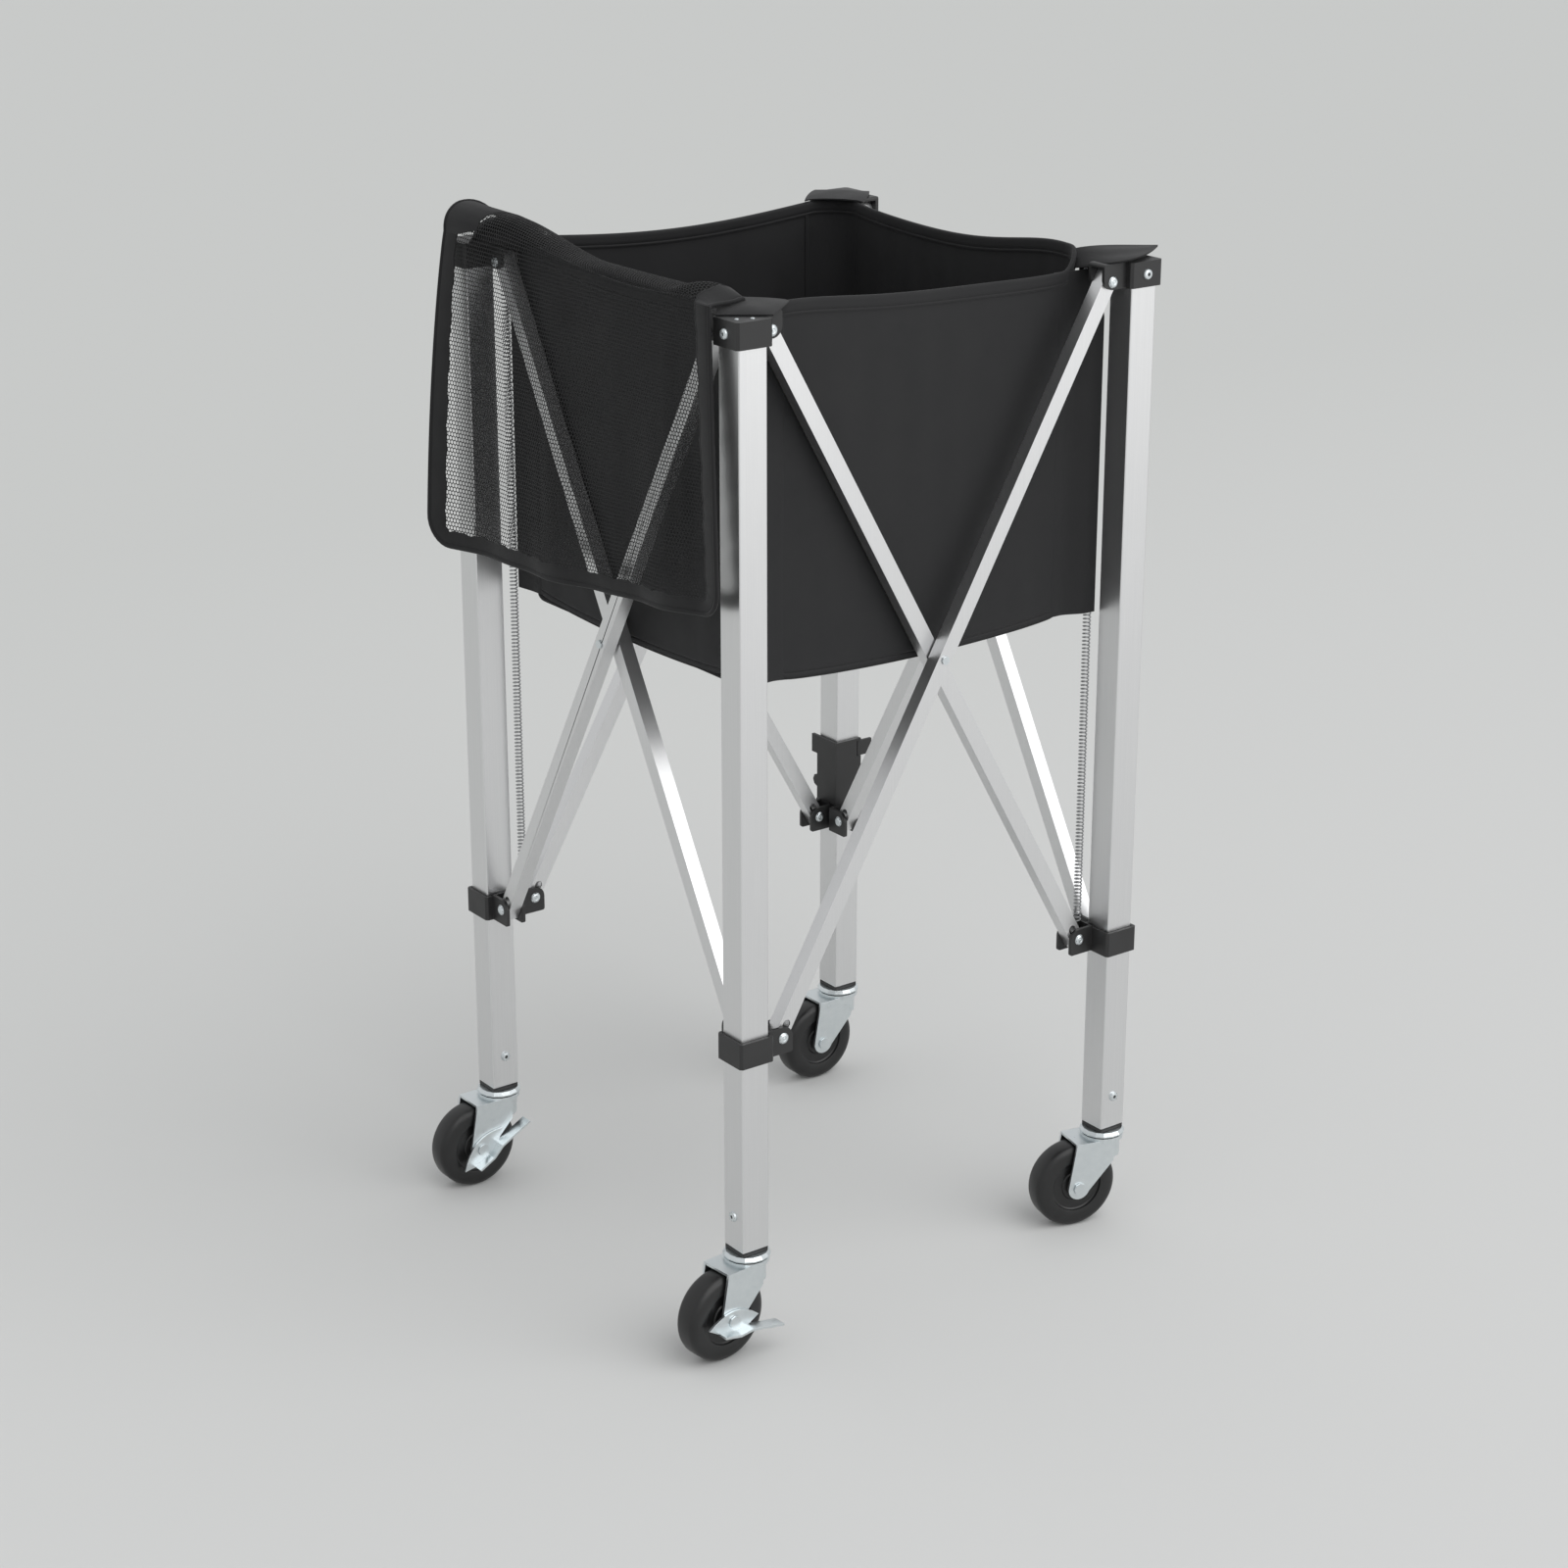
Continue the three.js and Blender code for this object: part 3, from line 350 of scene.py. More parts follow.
ALUMINIUM = aluminium("satin_aluminium")
BAR_ALUMINIUM = {
    ("x", 1): aluminium("bar_aluminium_right_lean", (0, -BAR_TILT, 0)),
    ("x", -1): aluminium("bar_aluminium_left_lean", (0, BAR_TILT, 0)),
    ("y", 1): aluminium("bar_aluminium_rear_lean", (BAR_TILT, 0, 0)),
    ("y", -1): aluminium("bar_aluminium_front_lean", (-BAR_TILT, 0, 0)),
}
ZINC = zinc()
STEEL = steel()
PLASTIC = moulded("hub_plastic")
TYRE = moulded("wheel_rubber", dark=0.006, light=0.016, rough=(0.28, 0.42), grain=0.12)
FABRIC = woven("bag_polyester", dark=0.008, light=0.018, thread_mm=0.45, sheen=0.16)
BINDING = woven("binding_tape", dark=0.006, light=0.012, thread_mm=0.8, sheen=0.08)
YARN = woven("net_yarn", dark=0.004, light=0.009, thread_mm=0.3, sheen=0.04)


# The camera and the studio.
VIEW_AZIMUTH = math.radians(-36.26)
VIEW_ELEVATION = math.radians(20.05)
VIEW_DISTANCE = 2.659
VIEW_TARGET_MM = (-22.6, -13.0, 385.7)
LENS_MM = 74.5
SENSOR_MM = 36
KEY_FROM = (0.3, -1.0, 1.0)
KEY_SPREAD_DEG = 70
KEY_STRENGTH = 1.35
SOFTBOX_AT = (1.9, -3.4, 0.75)
SOFTBOX_SIZE = (2.2, 1.5)
SOFTBOX_AIM_HEIGHT = 0.45
SOFTBOX_WATTS = 9
SKY_COLOUR = (0.98, 0.99, 1.0, 1)
SKY_STRENGTH = 0.7
FLOOR_REACH = 30
# The floor's darkest and lightest colours, and the depths in metres over which one turns into the other:
# painted shade that darkens the floor towards the back.
FLOOR_COLOURS_WITH_PAINTED_SHADE = ((0.585, 0.592, 0.58), (0.69, 0.69, 0.685))
FLOOR_PAINTED_SHADE_FROM_TO = (2.2, -1.6)


def add_camera():
    level = math.cos(VIEW_ELEVATION)
    back = Vector((math.sin(VIEW_AZIMUTH) * level, -math.cos(VIEW_AZIMUTH) * level, math.sin(VIEW_ELEVATION)))
    camera = bpy.data.cameras.new("camera")
    camera.lens = LENS_MM
    camera.sensor_width = SENSOR_MM
    holder = bpy.data.objects.new("camera", camera)
    holder.location = place(0, *VIEW_TARGET_MM) + back * VIEW_DISTANCE
    holder.rotation_euler = (-back).to_track_quat("-Z", "Y").to_euler()
    bpy.context.scene.collection.objects.link(holder)
    bpy.context.scene.camera = holder


def add_softbox():
    """A low box that the metal mirrors."""
    lamp = bpy.data.lights.new("low_softbox", "AREA")
    lamp.shape = "RECTANGLE"
    lamp.size, lamp.size_y = SOFTBOX_SIZE
    lamp.energy = SOFTBOX_WATTS
    holder = bpy.data.objects.new("low_softbox", lamp)
    holder.location = SOFTBOX_AT
    aim = Vector((CENTRE.x, CENTRE.y, SOFTBOX_AIM_HEIGHT))
    holder.rotation_euler = (aim - Vector(SOFTBOX_AT)).to_track_quat("-Z", "Y").to_euler()
    bpy.context.scene.collection.objects.link(holder)


def add_key():
    """A wide soft key from the front."""
    lamp = bpy.data.lights.new("key", "SUN")
    lamp.energy = KEY_STRENGTH
    lamp.angle = math.radians(KEY_SPREAD_DEG)
    holder = bpy.data.objects.new("key", lamp)
    holder.rotation_euler = Vector(KEY_FROM).to_track_quat("Z", "Y").to_euler()
    bpy.context.scene.collection.objects.link(holder)


def add_studio():
    add_key()
    add_softbox()
    world = bpy.data.worlds.new("studio")
    bpy.context.scene.world = world
    world.use_nodes = True
    sky = world.node_tree.nodes["Background"]
    sky.inputs["Color"].default_value = SKY_COLOUR
    sky.inputs["Strength"].default_value = SKY_STRENGTH
    bpy.context.scene.view_settings.view_transform = "Standard"


def add_floor():
    """A wide plain floor with painted shade: its colour is darker towards the back, standing in for light
    that falls off with distance.
    """
    finish = Finish("floor_with_painted_shade", Roughness=0.9, Specular_IOR_Level=0.1)
    along = finish.add("ShaderNodeSeparateXYZ", {"Vector": finish.where}).outputs[1]
    # Painted shade: the colour runs from dark at the back to light at the front.
    finish.colour(finish.span(along, 0, 1, *FLOOR_PAINTED_SHADE_FROM_TO), *FLOOR_COLOURS_WITH_PAINTED_SHADE)
    corners = [(x * FLOOR_REACH, y * FLOOR_REACH, 0) for x, y in ((-1, -1), (1, -1), (1, 1), (-1, 1))]
    add_mesh("floor", corners, [(0, 1, 2, 3)], finish.material)


# The frame's own nodes, whose edges are rounded a little.
WELD = 0.00001
FLAT_DEG = 1
EDGE_DEG = 40
EDGE_SEGMENTS = 2
LEG_EDGE_MM = 0.9
BAR_EDGE_MM = 0.7
HUB_EDGE_MM = 0.5
FORK_EDGE_MM = 0.4
LATCH_EDGE_MM = 0.4
LEVER_EDGE_MM = 0.3


def dress(node, material, edge_mm=0):
    """Gives a CAD node its material, and rounds its sharp edges so that they catch the light."""
    piece = NODES[node]
    piece.data.materials.clear()
    piece.data.materials.append(material)
    if not edge_mm:
        return
    piece.modifiers.new("weld", "WELD").merge_threshold = WELD
    flat = piece.modifiers.new("flat", "DECIMATE")
    flat.decimate_type = "DISSOLVE"
    flat.angle_limit = math.radians(FLAT_DEG)
    bevel = piece.modifiers.new("edges", "BEVEL")
    bevel.width = edge_mm * MM
    bevel.segments = EDGE_SEGMENTS
    bevel.limit_method = "ANGLE"
    bevel.angle_limit = math.radians(EDGE_DEG)
    bevel.harden_normals = True


def dress_frame():
    for corner in CORNERS:
        dress("leg_" + corner, ALUMINIUM, LEG_EDGE_MM)
        dress("top_cap_" + corner, PLASTIC, HUB_EDGE_MM)
        dress("sliding_collar_" + corner, PLASTIC, HUB_EDGE_MM)
        dress("caster_plug_" + corner, PLASTIC)
        dress("caster_raceway_" + corner, ZINC)
        dress("caster_fork_" + corner, ZINC, FORK_EDGE_MM)
        dress("caster_axle_" + corner, ZINC)
    for turns, side in enumerate(SIDES):
        axis = "xy"[turns % 2]
        way = 1 if turns in (0, 3) else -1
        dress(side + "_outer_bar", BAR_ALUMINIUM[axis, way], BAR_EDGE_MM)
        dress(side + "_inner_bar", BAR_ALUMINIUM[axis, -way], BAR_EDGE_MM)
        dress(side + "_crossing_rivet", ZINC)
    for corner in ("front_left", "rear_left"):
        dress("brake_lever_" + corner, ZINC, LEVER_EDGE_MM)
    for node in ("latch_housing", "latch_lever"):
        dress(node, PLASTIC, LATCH_EDGE_MM)


# The rivet heads of the ears, the fixing screws, and two studs on the front left cap.
EAR_LAYER_MM = 13.3
EAR_HALF_MM = 9.15
CAP_WALL_MM = 3.3
CAP_HALF_MM = LEG_HALF_MM + CAP_WALL_MM
CAP_SCREW_DROP_MM = 10
FOOT_SCREW_RISE_MM = 28
FOOT_SCREW_MM = LEG_LOW.z / MM + FOOT_SCREW_RISE_MM
HEAD_STEPS = 28
RIVET_RADIUS_MM = 4.5
RIVET_HEIGHT_MM = 1.9
STUD_RADIUS_MM = 1.7
STUDS_MM = [(-193.0, -189.0), (-182.0, -193.0)]
# Shares of a rivet head's radius and height, from its middle to its rim and back under it.
RIVET_SHARES = [
    (0.0, 1.0), (0.22, 1.0), (0.3, 0.82), (0.42, 0.96), (0.62, 0.9), (0.86, 0.62), (1.0, 0.22), (1.0, -0.2),
    (0.0, -0.2),
]
SCREW_PROFILE_MM = [
    (0.0, 1.2), (1.3, 1.25), (1.5, 2.0), (2.6, 1.95), (3.6, 1.6), (4.1, 0.8), (4.2, -0.3), (0.0, -0.3),
]


def add_head(shape, profile, centre, outward):
    """A turned head with its foot at centre."""
    outward = Vector(outward)
    side = Vector((1, 0, 0)) if outward.z else Vector((0, 0, 1))
    shape.add(*lathe(profile, side, outward.cross(side), outward, Vector(centre), HEAD_STEPS))


def rivet_head(shape, centre, outward, radius=RIVET_RADIUS_MM):
    """A domed rivet head with a dimple."""
    tall = RIVET_HEIGHT_MM * radius / RIVET_RADIUS_MM
    add_head(shape, [(share * radius, height * tall) for share, height in RIVET_SHARES], centre, outward)


def ear_rivets(shape, inwards, height):
    """Both heads of the two ears of one hub, about the front left leg's axis."""
    for turned, inward in enumerate(inwards):
        for sign in (-1, 1):
            along, outward = (PIN_REACH_MM, inward + sign * EAR_HALF_MM), (0, sign)
            if turned:
                along, outward = along[::-1], outward[::-1]
            centre = (along[0] - HALF_PITCH_MM, along[1] - HALF_PITCH_MM, height)
            rivet_head(shape, centre, (*outward, 0))


def leg_heads(corner):
    """The heads on one leg and its cap, turned to the front left corner."""
    shape = Shape()
    if corner == "front_left":
        for x, y in STUDS_MM:
            rivet_head(shape, (x, y, CAP_TOP_MM), (0, 0, 1), STUD_RADIUS_MM)
    ear_rivets(shape, (EAR_LAYER_MM, 0), CAP_PIN_MM)
    face = -HALF_PITCH_MM - CAP_HALF_MM
    add_head(shape, SCREW_PROFILE_MM, (face, -HALF_PITCH_MM, CAP_TOP_MM - CAP_SCREW_DROP_MM), (-1, 0, 0))
    way = 1 if corner == "rear_left" else -1
    face = way * LEG_HALF_MM - HALF_PITCH_MM
    add_head(shape, SCREW_PROFILE_MM, (face, -HALF_PITCH_MM, FOOT_SCREW_MM), (way, 0, 0))
    return shape


def add_rivets():
    for turns, corner in enumerate(CORNERS):
        piece = leg_heads(corner).build("cap_rivets_" + corner, ZINC, turns)
        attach(piece, corner + "_leg")
        collar_heads = Shape()
        ear_rivets(collar_heads, (0, EAR_LAYER_MM), COLLAR_PIN_MM)
        piece = collar_heads.build("collar_rivets_" + corner, ZINC, turns)
        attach(piece, corner + "_collar")


# The wheels.
WHEEL_STEPS = 72
WHEEL_HALF_MM = 12.0
# Half of the wheel's section from the bore outwards: radius, and depth under the side of the hub.
WHEEL_SIDE_MM = [
    (4.1, -0.2), (8.2, -0.2), (9.2, 0.6), (9.4, 2.2), (12.5, 2.6), (13.3, 3.6), (20.8, 3.6), (22.0, 2.9),
    (22.6, 1.4), (24.0, 1.0), (31.0, 1.0), (33.0, 1.4),
]
# The shoulder of its tread: depth under the tread, and depth under the side of the hub.
WHEEL_SHOULDER_MM = [(2.0, 2.4), (0.7, 4.0), (0.0, 6.2), (0.0, WHEEL_HALF_MM)]


def wheel_profile(radius):
    """The whole section of a wheel, which ends where it starts."""
    side = WHEEL_SIDE_MM + [(radius - under, depth) for under, depth in WHEEL_SHOULDER_MM]
    right = [(r, WHEEL_HALF_MM - depth) for r, depth in side]
    left = [(r, -height) for r, height in reversed(right[:-1])]
    return right + left + right[:1]


def add_wheels():
    up = Vector((0, 0, 1))
    for corner in CORNERS:
        joint = JOINTS[corner + "_wheel_spin"]
        centre = Vector(joint["pos_m"])
        axis = Vector(joint["axis"]).normalized()
        profile = [(r * MM, h * MM) for r, h in wheel_profile(centre.z / MM)]
        points, faces = lathe(profile, up, axis.cross(up), axis, centre, WHEEL_STEPS)
        piece = add_mesh("wheel_" + corner, points, faces, TYRE, WHEEL_SHARP_DEG)
        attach(piece, corner + "_wheel")
        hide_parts("caster_wheel_" + corner)


# The lift springs, at two corners.
SPRING_OUT_MM = 20.3
SPRING_SIDE_MM = 18.0
SPRING_GAP_MM = 0.3
SPRING_RADIUS_MM = 2.9
SPRING_WIRE_MM = 0.6
SPRING_PITCH_MM = 3.1
SPRING_STEPS = 12
SPRING_SIDES = 6


def spring_points(foot, top):
    turns = int((top - foot) / SPRING_PITCH_MM)
    points = []
    for i in range(turns * SPRING_STEPS + 1):
        share = i / (turns * SPRING_STEPS)
        angle = math.pi / 2 + share * turns * 2 * math.pi
        x, y = SPRING_RADIUS_MM * math.cos(angle), SPRING_RADIUS_MM * math.sin(angle)
        points.append((x, y, foot + share * (top - foot)))
    return np.array(points)


def tube_along(points, radius, sides):
    """A closed tube along an array of points."""
    along = np.gradient(points, axis=0)
    along /= np.linalg.norm(along, axis=1)[:, None]
    out = np.stack([points[:, 0], points[:, 1], np.zeros(len(points))], 1)
    across = np.cross(along, out)
    across /= np.linalg.norm(across, axis=1)[:, None]
    out = np.cross(across, along)
    angles = 2 * np.pi * np.arange(sides) / sides
    spokes = np.cos(angles)[None, :, None] * out[:, None] + np.sin(angles)[None, :, None] * across[:, None]
    rings = points[:, None] + radius * spokes
    return rings.reshape(-1, 3), ring_faces(len(points), sides)


def ring_faces(count, size):
    """The faces of a closed tube of count rings with size points each."""
    faces = []
    for i in range(count - 1):
        for k in range(size):
            m = (k + 1) % size
            faces.append((i * size + k, i * size + m, (i + 1) * size + m, (i + 1) * size + k))
    faces.append(tuple(reversed(range(size))))
    faces.append(tuple((count - 1) * size + k for k in range(size)))
    return faces


def add_springs():
    foot, top = COLLAR_TOP_MM + SPRING_GAP_MM, CAP_FOOT_MM - SPRING_GAP_MM
    x, y = SPRING_OUT_MM - HALF_PITCH_MM, SPRING_SIDE_MM - HALF_PITCH_MM
    for turns, corner in ((1, "front_right"), (3, "rear_left")):
        points, faces = tube_along(spring_points(foot, top), SPRING_WIRE_MM, SPRING_SIDES)
        points = placed(points + np.array([x, y, 0]), turns)
        piece = add_mesh("spring_" + corner, points, faces, STEEL, THREAD_SHARP_DEG)
        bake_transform(piece)
        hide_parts("lift_spring_" + corner)


# The bag.
BAG_ROUND_MM = 27.0
BAG_STRAIGHT_MM = BAG_HALF_MM - BAG_ROUND_MM
BAG_STEP_MM = 4.0
ARC_STEPS = 10
CLOTH_MM = 1.2
RIM_CORNER_MM = 823.0
# How far the rim hangs under the level of its corners along each side, from one corner to the next.
RIM_DROPS_MM = {
    0: [(0.0, 0.0), (0.15, 1.2), (0.3, 5.0), (0.5, 7.6), (0.7, 9.4), (0.88, 10.2), (1.0, 9.6)],
    1: [(0.0, -6.0), (0.15, -4.0), (0.3, 2.0), (0.5, 6.0), (0.7, 6.4), (0.85, 4.0), (1.0, 0.0)],
    2: [(0.0, 0.0), (0.15, 3.6), (0.3, 6.6), (0.5, 8.0), (0.7, 6.8), (0.85, 3.8), (1.0, 0.0)],
    3: [(0.0, 0.0), (0.15, 4.0), (0.3, 8.0), (0.5, 10.0), (0.7, 8.2), (0.85, 4.2), (1.0, 0.0)],
}
RIM_DEGREE = 5
RIM_CURVES = {turns: np.polyfit(*zip(*knots), RIM_DEGREE) for turns, knots in RIM_DROPS_MM.items()}
# How far the hem stands out at each depth under the rim.
HEM_DEPTHS_MM = [0.0, 0.4, 1.2, 3.0, 6.0, 8.4, 8.9, 9.4, 10.4, 11.0, 11.5, 13.0, 17.0]
HEM_OUT_MM = [-0.3, 0.45, 0.95, 1.1, 1.05, 1.0, 0.6, 1.0, 0.95, 0.7, 0.2, 0.0, 0.0]
# The same at each height over the bag's foot, where the floor is sewn on, from the top down.
FOOT_HEIGHTS_MM = [10.0, 7.0, 5.8, 5.2, 4.6, 3.4, 1.6, 0.5, 0.0]
FOOT_OUT_MM = [0.0, 0.2, 0.1, -0.5, 0.1, 0.3, 0.1, -0.6, -1.6]
FOOT_RISE_MM = 7.0
FOOT_RISE_POWER = 0.6
BELLY_MM = 2.2
BELLY_POWER = 0.8
# The folds fade out within these shares of the bag's depth, under the rim and over the foot.
FOLD_FREE_SHARES = (1 / 8, 1 / 10)
FOLD_SEED = 7
FOLD_WAVES = np.random.default_rng(FOLD_SEED).uniform(0, 1, (4, 9, 4))
FOLD_MM = 0.42
FOLD_LEAST = 0.25
FOLD_FADE = 0.35
FOLD_FIRST_TURNS = 2
FOLD_MORE_TURNS = 1.3
FOLD_LEAN = 0.9
FOLD_SWELL_SHARES = (0.55, 0.45)


def bag_path(with_corners):
    """Points along one side of the bag in plan: the middles of its bends, and the outward directions."""
    first, last, straight = [], [], []
    for i in range(ARC_STEPS if with_corners else 0):
        angle = math.pi + i / ARC_STEPS * math.pi / 2
        first.append((-BAG_STRAIGHT_MM, -BAG_STRAIGHT_MM, math.cos(angle), math.sin(angle)))
        angle = 1.5 * math.pi + (i + 1) / ARC_STEPS * math.pi / 2
        last.append((BAG_STRAIGHT_MM, -BAG_STRAIGHT_MM, math.cos(angle), math.sin(angle)))
    steps = int(2 * BAG_STRAIGHT_MM / BAG_STEP_MM)
    for i in range(steps + 1):
        straight.append((-BAG_STRAIGHT_MM + 2 * BAG_STRAIGHT_MM * i / steps, -BAG_STRAIGHT_MM, 0.0, -1.0))
    return np.array(first + straight + last)


def rim_height(turns, share):
    """The rim's height along a side: it sags between the corners."""
    return RIM_CORNER_MM - np.polyval(RIM_CURVES[turns], np.clip(share, 0, 1))


def corner_rims(turns, path, share):
    """The rim's height along a wall, which meets the heights of its neighbours round the corners."""
    after = rim_height((turns + 1) % 4, 0.0) - rim_height(turns, 1.0)
    before = rim_height((turns - 1) % 4, 1.0) - rim_height(turns, 0.0)
    return rim_height(turns, share) + after * smooth(path[:, 2]) + before * smooth(-path[:, 2])


def foot_rise(share):
    """The foot of the wall lifts a little towards the corners."""
    return FOOT_RISE_MM * (1 - np.sin(np.pi * np.clip(share, 0, 1)) ** FOOT_RISE_POWER)


def soft_folds(turns, share, depth):
    """Soft upright folds and slanted drags in the cloth, in millimetres outwards; depth goes from 0 to 1."""
    total = np.zeros(np.broadcast(share, depth).shape)
    for i, (size, phase, lean, slow) in enumerate(FOLD_WAVES[turns]):
        count = FOLD_FIRST_TURNS + FOLD_MORE_TURNS * i
        wave = np.sin(2 * np.pi * (share * count + phase + (lean - 0.5) * FOLD_LEAN * depth))
        even, uneven = FOLD_SWELL_SHARES
        swell = even + uneven * np.sin(2 * np.pi * (depth * (0.5 + slow) + phase))
        total += (FOLD_LEAST + size) * FOLD_MM / (1 + FOLD_FADE * i) * wave * swell
    return total


def bag_offsets(turns, share, rim, height):
    """How far the cloth stands out of the bag's plan at a place, without the hem."""
    depth = (rim - height) / (rim - BAG_FOOT_MM)
    ends = np.sin(np.pi * np.clip(share, 0, 1))
    belly = BELLY_MM * ends ** BELLY_POWER * np.sin(np.pi * np.clip(depth, 0, 1)) ** BELLY_POWER
    high, low = FOLD_FREE_SHARES
    free = np.clip(depth / high, 0, 1) * np.clip((1 - depth) / low, 0, 1)
    return belly + soft_folds(turns, share, depth) * free


def wall_heights(rim, share, count):
    """The heights of a wall's points at one place, from the rim down: hem, count steps of cloth, foot."""
    top = rim - np.array(HEM_DEPTHS_MM)
    foot = BAG_FOOT_MM + foot_rise(share) + np.array(FOOT_HEIGHTS_MM)
    middle = top[-1] + (foot[0] - top[-1]) * np.linspace(0, 1, count + 1)[1:-1]
    return np.concatenate([top, middle, foot])


def wall_grid(turns, path, share, rim, side):
    """The points of a wall's outer side, 1, or inner side, -1."""
    foot = BAG_FOOT_MM + foot_rise(share[0]) + FOOT_HEIGHTS_MM[0]
    count = int((rim[0] - HEM_DEPTHS_MM[-1] - foot) / BAG_STEP_MM)
    extra = np.concatenate([HEM_OUT_MM, np.zeros(count - 1), FOOT_OUT_MM])
    columns = []
    for i, (x, y, out_x, out_y) in enumerate(path):
        heights = wall_heights(rim[i], share[i], count)
        stand = bag_offsets(turns, share[i], rim[i], heights) + side * extra - (0 if side > 0 else CLOTH_MM)
        reach = BAG_ROUND_MM + stand
        columns.append(np.stack([x + out_x * reach, y + out_y * reach, heights], 1))
    return np.array(columns)


def bag_wall(turns, with_corners, name):
    """One wall with its seams, and its flat size."""
    path = bag_path(with_corners)
    share = (path[:, 0] + BAG_STRAIGHT_MM) / (2 * BAG_STRAIGHT_MM)
    rim = corner_rims(turns, path, share)
    outer = wall_grid(turns, path, share, rim, 1)
    inner = wall_grid(turns, path, share, rim, -1)
    columns, rows = outer.shape[:2]
    shape = closed_patch(outer.reshape(-1, 3), inner.reshape(-1, 3), columns, rows)
    for seam in SEAMS[turns]:
        add_seam(shape, turns, *seam)
    piece = shape.build(name, FABRIC, turns, CLOTH_SHARP_DEG)
    length = float(np.linalg.norm(np.diff(outer[:, rows // 2, :2], axis=0), axis=1).sum()) * MM
    tall = (float(np.mean(rim)) - BAG_FOOT_MM) * MM
    return piece, (length, tall)


# The sewn corner seams carry a wall straight on past its round corner, outside the springs: for each wall,
# its end, how far along the wall the seam reaches and how far it stands out, near the rim and below.
SEAMS = {
    0: [(-1, (163.0, 163.0), (2.6, 2.6)), (1, (162.5, 170.8), (2.6, 8.2))],
    1: [],
    2: [(-1, (163.0, 163.0), (2.6, 2.6))],
    3: [(-1, (160.0, 161.8), (1.5, 3.2))],
}
SEAM_START_MM = 8.0
SEAM_DROP_MM = 0.3
SEAM_TURN_MM = (140.0, 164.0)
SEAM_FREE_MM = (800.0, 776.0)
SEAM_SET_MM = 0.5
SEAM_THICK_MM = 0.9
SEAM_STEPS = (20, 60)


def between(value, start, end):
    """A soft step from 0 to 1 as value goes from start to end."""
    return float(smooth((value - start) / (end - start)))


def add_seam(shape, turns, end, reaches, stands):
    columns, rows = SEAM_STEPS
    top = rim_height(turns, (end + 1) / 2) - SEAM_DROP_MM
    foot = BAG_FOOT_MM + foot_rise(0)
    start = BAG_STRAIGHT_MM - SEAM_START_MM
    outer, inner = [], []
    for i in range(columns):
        for j in range(rows):
            z = top + (foot - top) * j / (rows - 1)
            free = between(z, *SEAM_FREE_MM)
            reach = reaches[0] + (reaches[1] - reaches[0]) * free
            x = start + (reach - start) * i / (columns - 1)
            leave = between(x, start, BAG_STRAIGHT_MM) * (CLOTH_MM + SEAM_SET_MM)
            swing = stands[0] + (stands[1] - stands[0]) * free - SEAM_SET_MM
            y = -BAG_HALF_MM + CLOTH_MM - leave - swing * between(x, *SEAM_TURN_MM)
            outer.append((end * x, y, z))
            inner.append((end * x, y + SEAM_THICK_MM, z))
    patch = closed_patch(outer, inner, columns, rows)
    shape.add(patch.points, patch.faces if end > 0 else turned_over(patch.faces))


def add_bag():
    walls = {}
    for turns, side in enumerate(SIDES):
        walls[side], flat = bag_wall(turns, turns % 2 == 0, "bag_wall_" + side)
        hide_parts("bag_" + side + "_wall")
    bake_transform(walls["front"])
    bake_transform(walls["left"])
    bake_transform(walls["right"])
    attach(walls["rear"], "rear_left_leg")
    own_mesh(walls["rear"])
    add_bag_floor()
    add_corner_tabs()


# The bag's floor, in two halves that meet on its middle line.
FLOOR_STEPS = (72, 34)
FLOOR_EDGE_MM = 2.4
FLOOR_LIFT_MM = 2.2
FLOOR_THICK_MM = 1.4
FLOOR_RISE_SHARE = 0.8
# The height of the broad and the fine dents, and how far each runs across and along the floor in a radian.
DENTS_MM = (0.64, 0.4)
DENT_WAVES_MM = ((21, 23), (9, 14))
DENT_PHASE = 0.6
DENT_POWER = 6


def floor_point(across, outwards):
    """A point of the front half: across goes from -1 to 1, outwards from 0 on the middle line to 1."""
    y = -(BAG_HALF_MM - FLOOR_EDGE_MM) * outwards
    past = max(-y - BAG_STRAIGHT_MM, 0.0)
    room = BAG_ROUND_MM - FLOOR_EDGE_MM
    x = across * (BAG_STRAIGHT_MM + math.sqrt(max(room ** 2 - past ** 2, 0.0)))
    broad, fine = DENT_WAVES_MM
    dent = DENTS_MM[0] * math.sin(x / broad[0] + DENT_PHASE) * math.sin(y / broad[1])
    dent += DENTS_MM[1] * math.sin(x / fine[0] + y / fine[1])
    rise = foot_rise(0.5 + x / (2 * BAG_STRAIGHT_MM)) * past / BAG_ROUND_MM * FLOOR_RISE_SHARE
    return (x, y, BAG_FOOT_MM + FLOOR_LIFT_MM + dent * (1 - abs(across) ** DENT_POWER) + rise)


def add_bag_floor():
    columns, rows = FLOOR_STEPS
    top = [floor_point(2 * i / columns - 1, j / rows) for i in range(columns + 1) for j in range(rows + 1)]
    bottom = [(x, y, z - FLOOR_THICK_MM) for x, y, z in top]
    for turns, side in ((0, "front"), (2, "rear")):
        shape = closed_patch(top, bottom, columns + 1, rows + 1)
        piece = shape.build("bag_floor_cloth_" + side, FABRIC, turns, CLOTH_SHARP_DEG)
        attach(piece, "bag_floor_" + side)
        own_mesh(piece)
        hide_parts("bag_floor_" + side)


